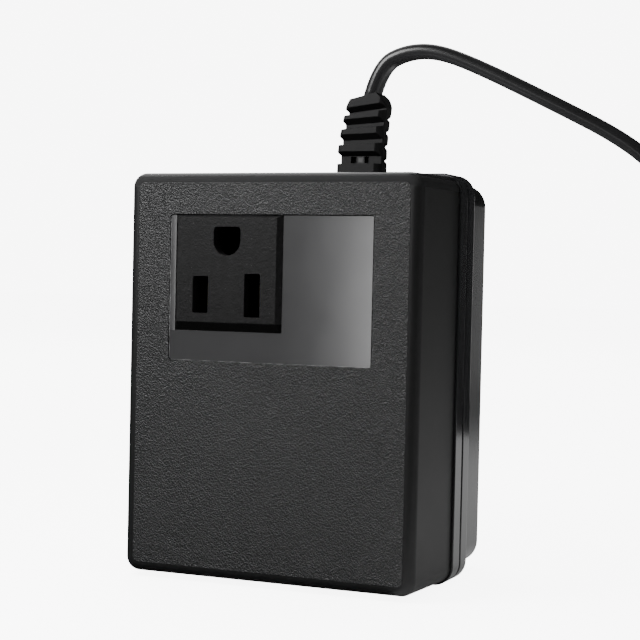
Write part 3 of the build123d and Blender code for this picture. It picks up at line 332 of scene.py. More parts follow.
def colour_setting(name, description, default):
    """A colour that a user may change."""
    limits = {"subtype": "COLOR", "size": 3, "min": 0.0, "max": 1.0}
    return FloatVectorProperty(name=name, description=description, default=default, **limits)


def amount_setting(name, description, default, unit="NONE", least=0.0):
    """An amount that a user may change."""
    return FloatProperty(name=name, description=description, unit=unit, min=least, default=default)


def length_setting(name, description, default, least=0.0):
    """A length that a user may change."""
    return amount_setting(name, description, default, "LENGTH", least)


def power_setting(name, description, default):
    """The power of a light, which a user may change."""
    return amount_setting(name, description, default, "POWER")


class ConverterLooks(bpy.types.PropertyGroup):
    """Colours and grain of the case, the plate and the cord"""

    case_colour: colour_setting("Case colour", "Colour of the moulded case", (0.0036, 0.0037, 0.004))
    # The front's paler colour is partly its grain's own tone and partly painted light for the front's brighter
    # lighting
    front_colour: colour_setting(
        "Front colour", "Colour of the front's grained flat, paler than the sides", (0.0132, 0.0133, 0.0136)
    )
    rear_roughness: amount_setting("Rear roughness", "Roughness of the rear shell's satin sides", 0.26)
    grain_size: length_setting("Grain size", "Width of one cell of the front's grain", 0.36 * MM, 0.1 * MM)
    grain_depth: length_setting("Grain depth", "Depth of the grain on the front", 0.32 * MM)
    plate_colour: colour_setting("Plate colour", "Colour of the glossy plate", (0.02, 0.02, 0.0205))
    cord_colour: colour_setting(
        "Cord colour", "Colour of the cord's sheath and of the strain relief", (0.007, 0.007, 0.0074)
    )


class ConverterCord(bpy.types.PropertyGroup):
    """Size of the flat twin cord"""

    width: length_setting("Width", "Width of the flat cord", 5.4 * MM, 1.0 * MM)
    thickness: length_setting("Thickness", "Thickness of the flat cord", 3.3 * MM, 1.0 * MM)
    length: length_setting("Length", "Real length of the cord from the strain relief to the plug", 1.0, 0.1)


class ConverterStage(bpy.types.PropertyGroup):
    """Light and floor of the studio"""

    key_power: power_setting("Key light", "Power of the close light that glances over the front's grain", 0.5)
    left_power: power_setting("Left card", "Power of the small card at the front left", 0.2)
    card_power: power_setting("Front card", "Power of the low card in front that the plate mirrors", 0.72)
    top_power: power_setting("Top light", "Power of the wide light overhead, which nothing mirrors", 4.0)
    rear_power: power_setting("Rear card", "Power of the far card behind that the right side mirrors", 0.21)
    rim_power: power_setting("Rim light", "Power of the wide light behind that draws the upper edges", 9.0)
    room_light: amount_setting("Room light", "Strength of the even light of the room", 1.55)
    room_gloss: amount_setting("Room gloss", "Strength of the room's light where gloss mirrors it", 0.025)
    floor_colour: colour_setting("Floor colour", "Colour of the pale floor", (0.86, 0.86, 0.86))
    floor_glow: amount_setting("Floor glow", "How far the floor is lifted towards white in the picture", 6.6)
    backdrop: amount_setting("Backdrop", "Strength of the room's light where the camera sees it", 8.0)
    sheet_colour: colour_setting(
        "Sheet colour", "Colour of the sheet beside the object that its side mirrors", (0.48, 0.48, 0.48)
    )
    floor_reach: length_setting("Floor reach", "Half the width of the floor", 4.0, 0.1)


# The materials by their slots, filled by their operator
palette = {}


def deselect():
    """Leaves nothing selected and nothing active."""
    for item in bpy.context.view_layer.objects:
        item.select_set(False)
    bpy.context.view_layer.objects.active = None


def activate(piece):
    """Selects one piece alone."""
    deselect()
    piece.select_set(True)
    bpy.context.view_layer.objects.active = piece


def new_object(name, data):
    """A new object in the scene."""
    made = bpy.data.objects.new(name, data)
    bpy.context.scene.collection.objects.link(made)
    return made


def settle(piece, name, slot, *nodes):
    """Names a finished piece, puts its place into its mesh, dresses it and lets it ride for its nodes."""
    activate(piece)
    bpy.ops.object.transform_apply(location=True, rotation=True, scale=True)
    piece.name = name
    piece.data.name = name
    piece.data.materials.clear()
    piece.data.materials.append(palette[slot])
    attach(piece, "root")
    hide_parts(*nodes)
    deselect()


def apply_modifier(piece, kind, **settings):
    """Adds a modifier with these settings and applies it."""
    activate(piece)
    modifier = piece.modifiers.new(kind.lower(), kind)
    for setting, value in settings.items():
        setattr(modifier, setting, value)
    bpy.ops.object.modifier_apply(modifier=modifier.name)


def box_piece(name, low, high):
    """A new box between two corners in millimetres, its place in its mesh."""
    deselect()
    middle = [(first + last) / 2 * MM for first, last in zip(low, high)]
    bpy.ops.mesh.primitive_cube_add(size=1.0, location=middle)
    piece = bpy.context.object
    piece.scale = [(last - first) * MM for first, last in zip(low, high)]
    bpy.ops.object.transform_apply(location=True, rotation=True, scale=True)
    piece.name = name
    return piece


def pick(piece, kind, test):
    """Opens a piece in edit mode with the vertices, edges or faces that pass a test selected."""
    if bpy.context.mode != "OBJECT":
        bpy.ops.object.mode_set(mode="OBJECT")
    activate(piece)
    bpy.ops.object.mode_set(mode="EDIT")
    bpy.ops.mesh.select_mode(type=kind)
    bpy.ops.mesh.select_all(action="DESELECT")
    surface = bmesh.from_edit_mesh(piece.data)
    for item in {"VERT": surface.verts, "EDGE": surface.edges, "FACE": surface.faces}[kind]:
        if test(item):
            item.select_set(True)
    surface.select_flush_mode()
    bmesh.update_edit_mesh(piece.data)


def leave_edit():
    """Closes edit mode."""
    bpy.ops.object.mode_set(mode="OBJECT")


def shift(piece, test, offset):
    """Moves the vertices that pass a test by an offset in millimetres."""
    pick(piece, "VERT", test)
    bpy.ops.transform.translate(value=[part * MM for part in offset])
    leave_edit()


def cut(piece, cutter):
    """Cuts one piece out of another."""
    apply_modifier(piece, "BOOLEAN", object=cutter, operation="DIFFERENCE", solver="EXACT")
    bpy.data.objects.remove(cutter)


def join(piece, *others):
    """Joins other pieces to a piece."""
    activate(piece)
    for other in others:
        other.select_set(True)
    bpy.ops.object.join()


def merged_copy(node, name):
    """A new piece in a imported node's shape, its loose triangles joined and its flats made whole."""
    piece = new_object(name, frame["nodes"][node].data.copy())
    pick(piece, "VERT", lambda vertex: True)
    bpy.ops.mesh.remove_doubles(threshold=JOIN_DISTANCE)
    bpy.ops.mesh.dissolve_limited(angle_limit=math.radians(FLAT_ANGLE))
    bpy.ops.mesh.normals_make_consistent(inside=False)
    leave_edit()
    return piece


def bisect(piece, place, direction, clear=True):
    """Splits a piece at a plane, place in millimetres, and clears what lies beyond it and closes the cut."""
    pick(piece, "FACE", lambda face: True)
    bpy.ops.mesh.bisect(
        plane_co=[part * MM for part in place],
        plane_no=direction,
        use_fill=clear,
        clear_outer=clear,
        threshold=BISECT_SLACK,
    )
    leave_edit()


def runs_along(edge, axis, least):
    """Whether an edge runs along one axis, 0 for X to 2 for Z, over more than a length in metres."""
    return abs(edge.verts[0].co[axis] - edge.verts[1].co[axis]) > least


def shade_by_angle(piece, degrees):
    """Shades a piece smooth, with creases sharper than an angle kept."""
    activate(piece)
    bpy.ops.object.shade_smooth_by_angle(angle=math.radians(degrees))


def soften(piece, width, degrees):
    """Rounds a piece's edges that are sharper than an angle, and keeps its flats flat in their shading."""
    limit = math.radians(degrees)
    apply_modifier(piece, "BEVEL", width=width * MM, segments=2, limit_method="ANGLE", angle_limit=limit)
    shade_by_angle(piece, SOFT_SMOOTH)
    apply_modifier(piece, "WEIGHTED_NORMAL", keep_sharp=True, mode="FACE_AREA", weight=100)


def tinted(colour, factor):
    """A colour made lighter or darker."""
    return tuple(min(channel * factor, 1.0) for channel in colour)


def add_node(tree, kind, inputs=None, **settings):
    """Adds a node to a tree; an input that is a socket becomes a link."""
    made = tree.nodes.new(kind)
    for setting, value in settings.items():
        setattr(made, setting, value)
    for key, value in (inputs or {}).items():
        if isinstance(value, bpy.types.NodeSocket):
            tree.links.new(value, made.inputs[key])
        else:
            made.inputs[key].default_value = value
    return made


class Finish:
    """A material under construction: its shader, the place on the piece, and short ways to add nodes."""

    def __init__(self, name, colour, roughness, metallic=0.0, refraction=1.5):
        self.material = bpy.data.materials.new(name)
        self.material.use_nodes = True
        self.tree = self.material.node_tree
        self.shader = self.tree.nodes["Principled BSDF"]
        self.shader.inputs["Base Color"].default_value = (*colour, 1.0)
        self.shader.inputs["Roughness"].default_value = roughness
        self.shader.inputs["Metallic"].default_value = metallic
        self.shader.inputs["IOR"].default_value = refraction
        self.place = self.node("ShaderNodeTexCoord").outputs["Object"]
        self.normal = None

    def node(self, kind, inputs=None, **settings):
        """Adds a node to the material."""
        return add_node(self.tree, kind, inputs, **settings)

    def math(self, operation, first, second=0.0):
        """One Math node's result."""
        return self.node("ShaderNodeMath", {0: first, 1: second}, operation=operation).outputs[0]

    def along(self, axis, vector=None):
        """One coordinate of the place, or of another vector."""
        return self.node("ShaderNodeSeparateXYZ", {0: vector or self.place}).outputs[axis]

    def away(self, axis, middle):
        """How far the place lies from a middle along one axis."""
        return self.math("ABSOLUTE", self.math("SUBTRACT", self.along(axis), middle))

    def stretched(self, scale, place=None):
        """The place with each axis scaled, for marks that run one way."""
        inputs = {"Vector": place or self.place, "Scale": scale}
        return self.node("ShaderNodeMapping", inputs).outputs["Vector"]

    def noise(self, scale, detail=3.0, place=None):
        """Cloudy noise from 0 to 1."""
        inputs = {"Vector": place or self.place, "Scale": scale, "Detail": detail}
        return self.node("ShaderNodeTexNoise", inputs).outputs["Fac"]

    def cells(self, size, feature="F1"):
        """Distance to the middle of the nearest cell."""
        inputs = {"Vector": self.place, "Scale": 1.0 / size}
        return self.node("ShaderNodeTexVoronoi", inputs, feature=feature).outputs["Distance"]

    def bands(self, axis, pitch):
        """Bands across one axis, one for each pitch."""
        inputs = {"Vector": self.place, "Scale": math.pi / (10 * pitch), "Distortion": LAYER_WANDER}
        return self.node("ShaderNodeTexWave", inputs, wave_type="BANDS", bands_direction=axis).outputs["Fac"]

    def spread(self, value, low, high, start=0.0, end=1.0, smooth=False):
        """A value's range carried over to another range."""
        made = self.node(
            "ShaderNodeMapRange",
            {"Value": value, "From Min": start, "From Max": end, "To Min": low, "To Max": high},
            interpolation_type="SMOOTHSTEP" if smooth else "LINEAR",
        )
        return made.outputs["Result"]

    def rise(self, axis, start, end):
        """A mask of 0 before a start and 1 past an end along one axis."""
        return self.spread(self.along(axis), 0.0, 1.0, start, end)

    def fall(self, axis, start, end):
        """A mask of 1 before a start and 0 past an end along one axis."""
        return self.spread(self.along(axis), 1.0, 0.0, start, end)

    def blend(self, share, first, second):
        """Two numbers mixed by a share."""
        return self.node("ShaderNodeMix", {0: share, 2: first, 3: second}, data_type="FLOAT").outputs[0]

    def mixed(self, share, *colours):
        """Two colours mixed by a share."""
        first, second = (item if isinstance(item, bpy.types.NodeSocket) else (*item, 1.0) for item in colours)
        return self.node("ShaderNodeMix", {0: share, 6: first, 7: second}, data_type="RGBA").outputs[2]

    def patchy(self, scale, low, high, detail=4.0):
        """A value that wanders from place to place between two values."""
        return self.spread(self.noise(scale, detail), low, high)

    def mottled(self, colour, share, darker, lighter):
        """A colour that varies with a share, between two tints of it."""
        return self.mixed(share, tinted(colour, darker), tinted(colour, lighter))

    def emboss(self, height, depth):
        """Bumps the surface by a height from 0 to 1 times a depth, on top of the bumps before."""
        inputs = {"Height": height, "Distance": depth, "Strength": 1.0}
        if self.normal is not None:
            inputs["Normal"] = self.normal
        self.normal = self.node("ShaderNodeBump", inputs).outputs["Normal"]

    def ripple(self, scale, depth, detail=1.0):
        """Bumps the surface by cloudy noise."""
        self.emboss(self.noise(scale, detail), depth)

    def done(self, colour=None, roughness=None):
        """Links what varies and hands over the material."""
        for socket, value in (("Base Color", colour), ("Roughness", roughness), ("Normal", self.normal)):
            if value is not None:
                self.tree.links.new(value, self.shader.inputs[socket])
        return self.material


def inside_rounded_box(finish, middle, half, corner, blur):
    """A mask of 1 inside a rounded rectangle in X and Z, fading over a blur at its edge."""
    ends = []
    for axis, centre, reach in zip("XZ", middle, half):
        past = finish.math("SUBTRACT", finish.away(axis, centre), reach - corner)
        ends.append(finish.math("MAXIMUM", past, 0.0))
    joined = finish.node("ShaderNodeCombineXYZ", {0: ends[0], 1: ends[1]}).outputs[0]
    distance = finish.node("ShaderNodeVectorMath", {0: joined}, operation="LENGTH").outputs["Value"]
    return finish.spread(distance, 1.0, 0.0, corner - blur, corner, smooth=True)


def case_finish(looks):
    """Black moulded plastic: strong fine grain on the flat of the front, satin everywhere else."""
    colour = tuple(looks.case_colour)
    rear_roughness = looks.rear_roughness
    finish = Finish("case_plastic", colour, rear_roughness)
    front = finish.fall("Y", *GRAIN_FADE)
    flat = inside_rounded_box(finish, GRAIN_MIDDLE, GRAIN_HALF, GRAIN_CORNER, GRAIN_BLUR)
    grained = finish.math("MULTIPLY", front, flat)
    flange = finish.rise("Y", *FLANGE_FADE)
    rear = finish.rise("Y", *REAR_FADE)
    bands = finish.math("SUBTRACT", flange, rear)
    cells = finish.cells(looks.grain_size, feature="SMOOTH_F1")
    pits = finish.noise(PITS_PER_CELL / looks.grain_size, detail=2.0)
    finish.emboss(finish.math("MULTIPLY", finish.math("ADD", cells, pits), grained), looks.grain_depth)
    satin = finish.math("SUBTRACT", 1.0, finish.math("MAXIMUM", grained, bands))
    finish.emboss(finish.math("MULTIPLY", finish.noise(2600.0, detail=2.0), satin), SATIN_DEPTH)
    finish.ripple(26.0, WAVE_DEPTH)
    wear = finish.noise(55.0, detail=4.0)
    collar = finish.spread(finish.along("Z"), 0.0, COLLAR_ROUGHER, *COLLAR_FADE)
    crown = finish.math("MULTIPLY", finish.rise("Z", *CROWN_FADE), CROWN_GLOSSIER)
    rough = finish.math("ADD", finish.spread(wear, *SIDES_ROUGH), collar)
    rough = finish.math("SUBTRACT", rough, crown)
    rear_rough = [rear_roughness + past for past in REAR_ROUGH]
    for mask, ends in ((flange, FLANGE_ROUGH), (rear, rear_rough), (grained, GRAIN_ROUGH)):
        rough = finish.blend(mask, rough, finish.spread(wear, *ends))
    tone = finish.mottled(colour, finish.noise(900.0, detail=2.0), 0.8, 1.25)
    # The flange is painted paler: a painted reflection standing in for the light that its gloss mirrors
    tone = finish.mixed(bands, tone, tinted(colour, FLANGE_PAINTED_LIGHT))
    # The grained flat's paler tone: partly the grain's own tone, partly painted light
    tone = finish.mixed(grained, tone, finish.mottled(looks.front_colour, pits, 0.7, 1.3))
    return finish.done(tone, rough)


def plate_finish(looks):
    """Glossy black label stock with faint waves, a patchy painted highlight along two edges and painted shade
    along the other two.
    """
    colour = tuple(looks.plate_colour)
    finish = Finish("plate_gloss", colour, 0.12)
    finish.ripple(90.0, 0.012 * MM)
    finish.emboss(finish.noise(1.0, detail=2.0, place=finish.stretched((700.0, 700.0, 9000.0))), 0.0006 * MM)
    tone = finish.mottled(colour, finish.noise(40.0), 0.85, 1.2)
    left, right, low, high = PLATE_BOX
    # A painted highlight along the left and lower edges, made patchy by noise
    start, end = EDGE_HIGHLIGHT_FADE
    near_edges = (("X", left), ("Z", low))
    highlight_edges = [finish.fall(axis, (edge + start) * MM, (edge + end) * MM) for axis, edge in near_edges]
    uneven = finish.spread(finish.noise(420.0), 0.0, 1.0, 0.42, 0.62)
    painted_highlight = finish.math("MULTIPLY", finish.math("MAXIMUM", *highlight_edges), finish.spread(uneven, 0.25, 1.0))
    tone = finish.mixed(painted_highlight, tone, EDGE_HIGHLIGHT_COLOUR)
    # Painted shade along the right and upper edges, where the recess wall shades the plate, which is also
    # duller there
    start, end = SHADOW_RIM_FADE
    far_edges = (("X", right), ("Z", high))
    shadow_rim = [finish.rise(axis, (edge - start) * MM, (edge - end) * MM) for axis, edge in far_edges]
    shadow_rim = finish.math("MAXIMUM", *shadow_rim)
    tone = finish.mixed(shadow_rim, tone, tinted(colour, SHADOW_RIM_SHADE))
    return finish.done(tone, finish.blend(shadow_rim, finish.patchy(120.0, *PLATE_ROUGH), SHADOW_RIM_ROUGH))


def socket_finish():
    """Finely grained black plastic with pale specks of dust, and painted shade on the socket's lower bevel."""
    finish = Finish("socket_plastic", SOCKET_COLOUR, SOCKET_ROUGH, refraction=SOCKET_REFRACTION)
    grain_size, grain_depth = SOCKET_GRAIN
    finish.emboss(finish.cells(grain_size, feature="SMOOTH_F1"), grain_depth)
    finish.ripple(3000.0, 0.06 * MM, detail=2.0)
    finish.ripple(60.0, WAVE_DEPTH)
    face = finish.rise("Z", *SOCKET_FACE_FADE)
    specks = finish.spread(finish.cells(DUST_SPACING), 1.0, 0.0, 0.02, 0.09)
    sparse = finish.spread(finish.noise(900.0, detail=0.0), 0.0, 1.0, 0.6, 0.66)
    dust = finish.math("MULTIPLY", finish.math("MULTIPLY", specks, sparse), face)
    tone = finish.mottled(SOCKET_COLOUR, finish.noise(1100.0), 0.3, 1.7)
    # Painted shade: the lower bevel gets a much darker tint of the socket's colour
    tone = finish.mixed(face, tinted(SOCKET_COLOUR, BEVEL_PAINTED_SHADE), tone)
    tone = finish.mixed(dust, tone, DUST_COLOUR)
    return finish.done(tone, finish.blend(face, BEVEL_ROUGH, finish.patchy(150.0, *FACE_ROUGH)))


def moulded_finish(name, colour, roughness, grain, depth):
    """Moulded plastic with an even fine grain and a little unevenness."""
    finish = Finish(name, colour, roughness)
    finish.emboss(finish.cells(grain * MM, feature="SMOOTH_F1"), depth * MM)
    finish.ripple(60.0, WAVE_DEPTH)
    tone = finish.mottled(colour, finish.noise(300.0), 0.85, 1.2)
    return finish.done(tone, finish.patchy(150.0, roughness - 0.05, roughness + 0.06))


def metal_finish(name, colour, roughness, brushed, stain):
    """Metal with fine brush marks along one way and a faint stain."""
    finish = Finish(name, colour, roughness, metallic=1.0)
    marks = finish.noise(1.0, place=finish.stretched(brushed))
    finish.emboss(marks, 0.004 * MM)
    tone = finish.mottled(colour, finish.noise(220.0, detail=4.0), stain, 1.08)
    return finish.done(tone, finish.spread(marks, roughness - 0.08, roughness + 0.12))


def layered_finish(name, colour, roughness, metallic, axis, pitch, depth, shade):
    """Thin layers or turns along one axis: laminations, wire turns or wound tape."""
    finish = Finish(name, colour, roughness, metallic=metallic)
    layers = finish.bands(axis, pitch * MM)
    finish.emboss(layers, depth * MM)
    uneven = finish.math("MULTIPLY", layers, finish.patchy(160.0, 0.6, 1.0))
    tone = finish.mixed(uneven, tinted(colour, shade), colour)
    return finish.done(tone, finish.spread(uneven, roughness + 0.12, roughness))


def soft_finish(name, cord_colour, shade, roughness, refraction, painted_underside, uv_name=None):
    """Soft plastic, with faint drawn lines along a cord's own map and painted light on what faces down: the
    finish, and its tone and roughness.
    """
    colour = tinted(cord_colour, shade)
    finish = Finish(name, colour, roughness, refraction=refraction)
    if uv_name:
        along = finish.node("ShaderNodeUVMap", uv_map=uv_name).outputs["UV"]
        finish.emboss(finish.noise(1.0, place=finish.stretched((3.0, 60.0, 1.0), along)), 0.006 * MM)
    finish.ripple(900.0, 0.003 * MM, detail=3.0)
    finish.ripple(70.0, 0.03 * MM)
    tone = finish.mottled(colour, finish.noise(60.0, detail=4.0), 0.8, 1.3)
    # Painted light on what faces down: painted shade under the relief, a painted reflection under the cord
    facing = finish.along("Z", finish.node("ShaderNodeNewGeometry").outputs["Normal"])
    painted_below = finish.spread(facing, 1.0, 0.0, *PAINTED_UNDERSIDE_FADE)
    tone = finish.mixed(painted_below, tone, tinted(colour, painted_underside))
    return finish, tone, finish.patchy(130.0, roughness - 0.05, roughness + 0.07)


def cord_finish(looks):
    """The cord's sheath, with a painted reflection on what faces down."""
    finish, tone, rough = soft_finish("cord_rubber", looks.cord_colour, *CORD_PLASTIC, uv_name="sheath")
    return finish.done(tone, rough)


def relief_finish(looks):
    """The strain relief, with a painted highlight on the web between its windows and painted shade on what
    faces down.
    """
    finish, tone, rough = soft_finish("relief_rubber", looks.cord_colour, *RELIEF_PLASTIC)
    middle, height = WEB_MIDDLE
    across = finish.away("X", middle * MM)
    upward = finish.away("Z", (FLANGE_TOP + height) * MM)
    # A painted highlight: a pale patch on the web between the windows
    web_highlight = finish.spread(finish.math("MAXIMUM", across, upward), 1.0, 0.0, *WEB_FADE)
    return finish.done(finish.mixed(web_highlight, tone, WEB_HIGHLIGHT_COLOUR), rough)


def fuse_finish():
    """White glazed body with a red band in its middle, between bare leads."""
    finish = Finish("fuse_body", FUSE_WHITE, 0.22)
    away = finish.away("X", 0.0)
    band = finish.spread(away, 1.0, 0.0, *FUSE_BAND_FADE)
    leads = finish.spread(away, 0.0, 1.0, *FUSE_LEAD_FADE)
    tone = finish.mixed(leads, finish.mixed(band, FUSE_WHITE, FUSE_RED), FUSE_LEAD)
    finish.ripple(500.0, 0.01 * MM, detail=3.0)
    return finish.done(tone, finish.patchy(300.0, *FUSE_ROUGH, detail=3.0))


def fill_palette(looks):
    """Every material of the part, by its slot in the record."""
    filled = {
        "case_plastic": case_finish(looks),
        "plate_gloss": plate_finish(looks),
        "socket_plastic": socket_finish(),
        "relief_rubber": relief_finish(looks),
        "cord_rubber": cord_finish(looks),
        "fuse_body": fuse_finish(),
    }
    for finish, table in ((metal_finish, METALS), (layered_finish, LAYERED), (moulded_finish, MOULDED)):
        for slot, values in table.items():
            filled[slot] = finish(slot, *values)
    return filled


class CONVERTER_OT_camera(bpy.types.Operator):
    """Sets the camera where the photograph was taken from"""

    bl_idname = "converter.camera"
    bl_label = "Camera"

    def execute(self, context):
        level = math.cos(CAMERA_PITCH)
        sight = Vector((-math.sin(CAMERA_YAW) * level, math.cos(CAMERA_YAW) * level, -math.sin(CAMERA_PITCH)))
        level_right = sight.cross(Vector((0.0, 0.0, 1.0))).normalized()
        level_up = level_right.cross(sight)
        right = level_right * math.cos(CAMERA_ROLL) + level_up * math.sin(CAMERA_ROLL)
        up = level_up * math.cos(CAMERA_ROLL) - level_right * math.sin(CAMERA_ROLL)
        lens = bpy.data.cameras.new("photo_camera")
        lens.sensor_width = CAMERA_SENSOR
        lens.lens = CAMERA_LENS
        lens.clip_start, lens.clip_end = CAMERA_CLIP
        camera = new_object("photo_camera", lens)
        turned = Matrix((right, up, -sight)).transposed().to_4x4()
        camera.matrix_world = Matrix.Translation(CAMERA_PLACE) @ turned
        context.scene.camera = camera
        return {"FINISHED"}


def coil_points():
    """Control points of the coil: inward in the lower layer, outward in the upper one."""
    # The drawn spline runs a little inside its control points, so they are set further out
    outward = 8 / (6 + 2 * math.cos(2 * math.pi / COIL_STEPS))
    low, high = COIL_CLIMB_TURNS
    points = []
    for step in range(1, int(COIL_TURNS * COIL_STEPS) + 1):
        turn = step / COIL_STEPS
        radius = COIL_LEAST_RADIUS + COIL_TURN_PITCH * abs(turn - COIL_REVERSAL_TURN)
        climbed = min(max((turn - low) / (high - low), 0.0), 1.0)
        angle = 2 * math.pi * turn - math.pi / 2
        x = COIL_MIDDLE[0] + outward * radius * math.cos(angle)
        y = COIL_MIDDLE[1] + outward * radius * math.sin(angle)
        points.append((x, y, COIL_LOWER_Z + COIL_CLIMB * climbed))
    return points


def smooth_line(name, points):
    """Points in metres along a smooth spline that has the given points as its control points."""
    curve = bpy.data.curves.new(name, "CURVE")
    curve.dimensions = "3D"
    curve.resolution_u = 8
    spline = curve.splines.new("NURBS")
    spline.points.add(len(points) - 1)
    for point, place in zip(spline.points, points):
        point.co = (*[value * MM for value in place], 1.0)
    spline.order_u = 3
    spline.use_endpoint_u = True
    line = new_object(name, curve)
    bpy.context.view_layer.update()
    drawn = bpy.data.meshes.new_from_object(line)
    places = [vertex.co.copy() for vertex in drawn.vertices]
    bpy.data.objects.remove(line)
    bpy.data.curves.remove(curve)
    bpy.data.meshes.remove(drawn)
    return places


def flat_section(width, thickness):
    """Outline of the flat cord's section: straight flats between round ends."""
    corner = SECTION_ROUND * thickness / 2
    reach, height = width / 2 - corner, thickness / 2 - corner
    outline = []
    for side, end in ((1, 1), (-1, 1), (-1, -1), (1, -1)):
        for step in range(SECTION_STEPS):
            angle = math.pi / 2 * step / (SECTION_STEPS - 1)
            if side * end < 0:
                angle = math.pi / 2 - angle
            across, up = reach + corner * math.cos(angle), height + corner * math.sin(angle)
            outline.append((side * across, end * up))
    return outline


def swept_tube(name, places, outline, uv_name):
    """A closed tube along places, its outline's first axis kept level, with a map along and round it."""
    last, count = len(places) - 1, len(outline)
    vertices, lengths, faces = [], [], []
    length = 0.0
    for index, place in enumerate(places):
        before, after = places[max(index - 1, 0)], places[min(index + 1, last)]
        heading = (after - before).normalized()
        length += (place - before).length
        lengths.append(length)
        side = heading.cross(Vector((0.0, 0.0, 1.0))).normalized()
        up = side.cross(heading).normalized()
        vertices += [place + side * across + up * rise for across, rise in outline]
    for ring in range(0, last * count, count):
        for corner in range(count):
            following = (corner + 1) % count
            faces.append((ring + corner, ring + following, ring + count + following, ring + count + corner))
    faces += [tuple(reversed(range(count))), tuple(range(last * count, (last + 1) * count))]
    mesh = bpy.data.meshes.new(name)
    mesh.from_pydata(vertices, [], faces)
    tube = new_object(name, mesh)
    layer = mesh.uv_layers.new(name=uv_name)
    for face in mesh.polygons:
        closes = face.index < last * count and face.index % count == count - 1
        for loop_index in face.loop_indices:
            ring, corner = divmod(mesh.loops[loop_index].vertex_index, count)
            share = 1.0 if closes and corner == 0 else corner / count
            layer.data[loop_index].uv = (lengths[ring] * MAP_PER_METRE, share)
    surface = bmesh.new()
    surface.from_mesh(mesh)
    bmesh.ops.recalc_face_normals(surface, faces=surface.faces)
    surface.to_mesh(mesh)
    surface.free()
    return tube


class CONVERTER_OT_cord(bpy.types.Operator):
    """Makes the flat twin cord: over its arch, down beside the case, round its coil and up to the plug"""

    bl_idname = "converter.cord"
    bl_label = "Flat cord"

    def execute(self, context):
        size = context.scene.converter_cord
        run = [(x, SEAM_Y / MM, z) for x, z in CORD_RUN]
        tail = [(COIL_MIDDLE[0] + x, COIL_MIDDLE[1] + y, z) for x, y, z in CORD_TAIL]
        places = smooth_line("cord_line", run + coil_points() + tail)
        cord = swept_tube("cord", places, flat_section(size.width, size.thickness), "sheath")
        shade_by_angle(cord, CORD_SMOOTH)
        settle(cord, "cord", "cord_rubber", "cord_run", "cord_coil", "cord_tail")
        return {"FINISHED"}


def relief_face(side):
    """The place in Y of the strain relief's front, side -1, or its back, side 1, in millimetres."""
    return SEAM_Y / MM + side * RELIEF_DEPTH / 2


def relief_column():
    """The leaning column of the strain relief, level by level, with rounded upright corners."""
    (base, left, right), *levels = RELIEF_LEVELS
    rise = levels[0][0]
    low, high = FLANGE_TOP + base, FLANGE_TOP + rise
    column = box_piece("relief", (left, relief_face(-1), low), (right, relief_face(1), high))
    middle = (left + right) / 2 * MM
    for corner, side in zip(RELIEF_CORNERS, (-1, 1)):
        pick(
            column,
            "EDGE",
            lambda edge: runs_along(edge, 2, 1.0 * MM)
            and all((vertex.co.x - middle) * side > 3.0 * MM for vertex in edge.verts),
        )
        bpy.ops.mesh.bevel(offset=corner * MM, segments=3, affect="EDGES", profile=CORNER_PROFILE)
        leave_edit()
    for next_rise, next_left, next_right in levels:
        if next_rise > rise:
            pick(column, "FACE", lambda face: face.normal.z > 0.9)
            step = (0.0, 0.0, (next_rise - rise) * MM)
            bpy.ops.mesh.extrude_region_move(TRANSFORM_OT_translate={"value": step})
            leave_edit()
            rise = next_rise
        top = (FLANGE_TOP + rise) * MM - NEAR
        for side, change in ((-1, next_left - left), (1, next_right - right)):
            shift(
                column,
                lambda vertex: vertex.co.z > top and (vertex.co.x - middle) * side > 0,
                (change, 0.0, 0.0),
            )
        middle += ((next_left - left) + (next_right - right)) / 2 * MM
        left, right = next_left, next_right
    return column


def relief_edge(rise, side):
    """The column's left edge, side 0, or right edge, side 1, at a rise above the flange."""
    for (low, *low_edges), (high, *high_edges) in zip(RELIEF_LEVELS, RELIEF_LEVELS[1:]):
        if rise <= high:
            share = (rise - low) / (high - low)
            return low_edges[side] + share * (high_edges[side] - low_edges[side])
    return RELIEF_LEVELS[-1][1 + side]


def slot_cutter(low, high, inside, floor_change, roof_change):
    """A box between two corners whose inner edges move, those of its floor and those of its roof."""
    cutter = box_piece("slot", low, high)
    middle = (low[2] + high[2]) / 2 * MM
    shift(cutter, lambda vertex: inside(vertex.co) and vertex.co.z > middle, (0.0, 0.0, roof_change))
    shift(cutter, lambda vertex: inside(vertex.co) and vertex.co.z < middle, (0.0, 0.0, floor_change))
    return cutter


def side_slot(side, floor_out, floor_in, roof_out, roof_in, slope):
    """The cutter that carries a front slot round the left side, or a rear slot round the right side."""
    way = (-1, 1)[side]
    edge = relief_edge((floor_out + roof_out) / 2, side)
    left, right = edge - SIDE_SLOT_DEPTHS[side], edge + SIDE_SLOT_DEPTHS[side]
    base = FLANGE_TOP + (edge - RELIEF_MIDDLE) * math.tan(math.radians(slope))
    roof_in = roof_out + (roof_in - roof_out) * SIDE_ROOF_SHARE
    low, high = base + 2 * floor_out - floor_in, base + 2 * roof_out - roof_in
    outer, past_seam = relief_face(way) + way * CLEAR, SEAM_Y / MM - way * SIDE_SLOT_REACHES[side]
    return slot_cutter(
        (left, min(outer, past_seam), low),
        (right, max(outer, past_seam), high),
        lambda place: (place.x - edge * MM) * way < 0,
        2 * (floor_in - floor_out),
        2 * (roof_in - roof_out),
    )


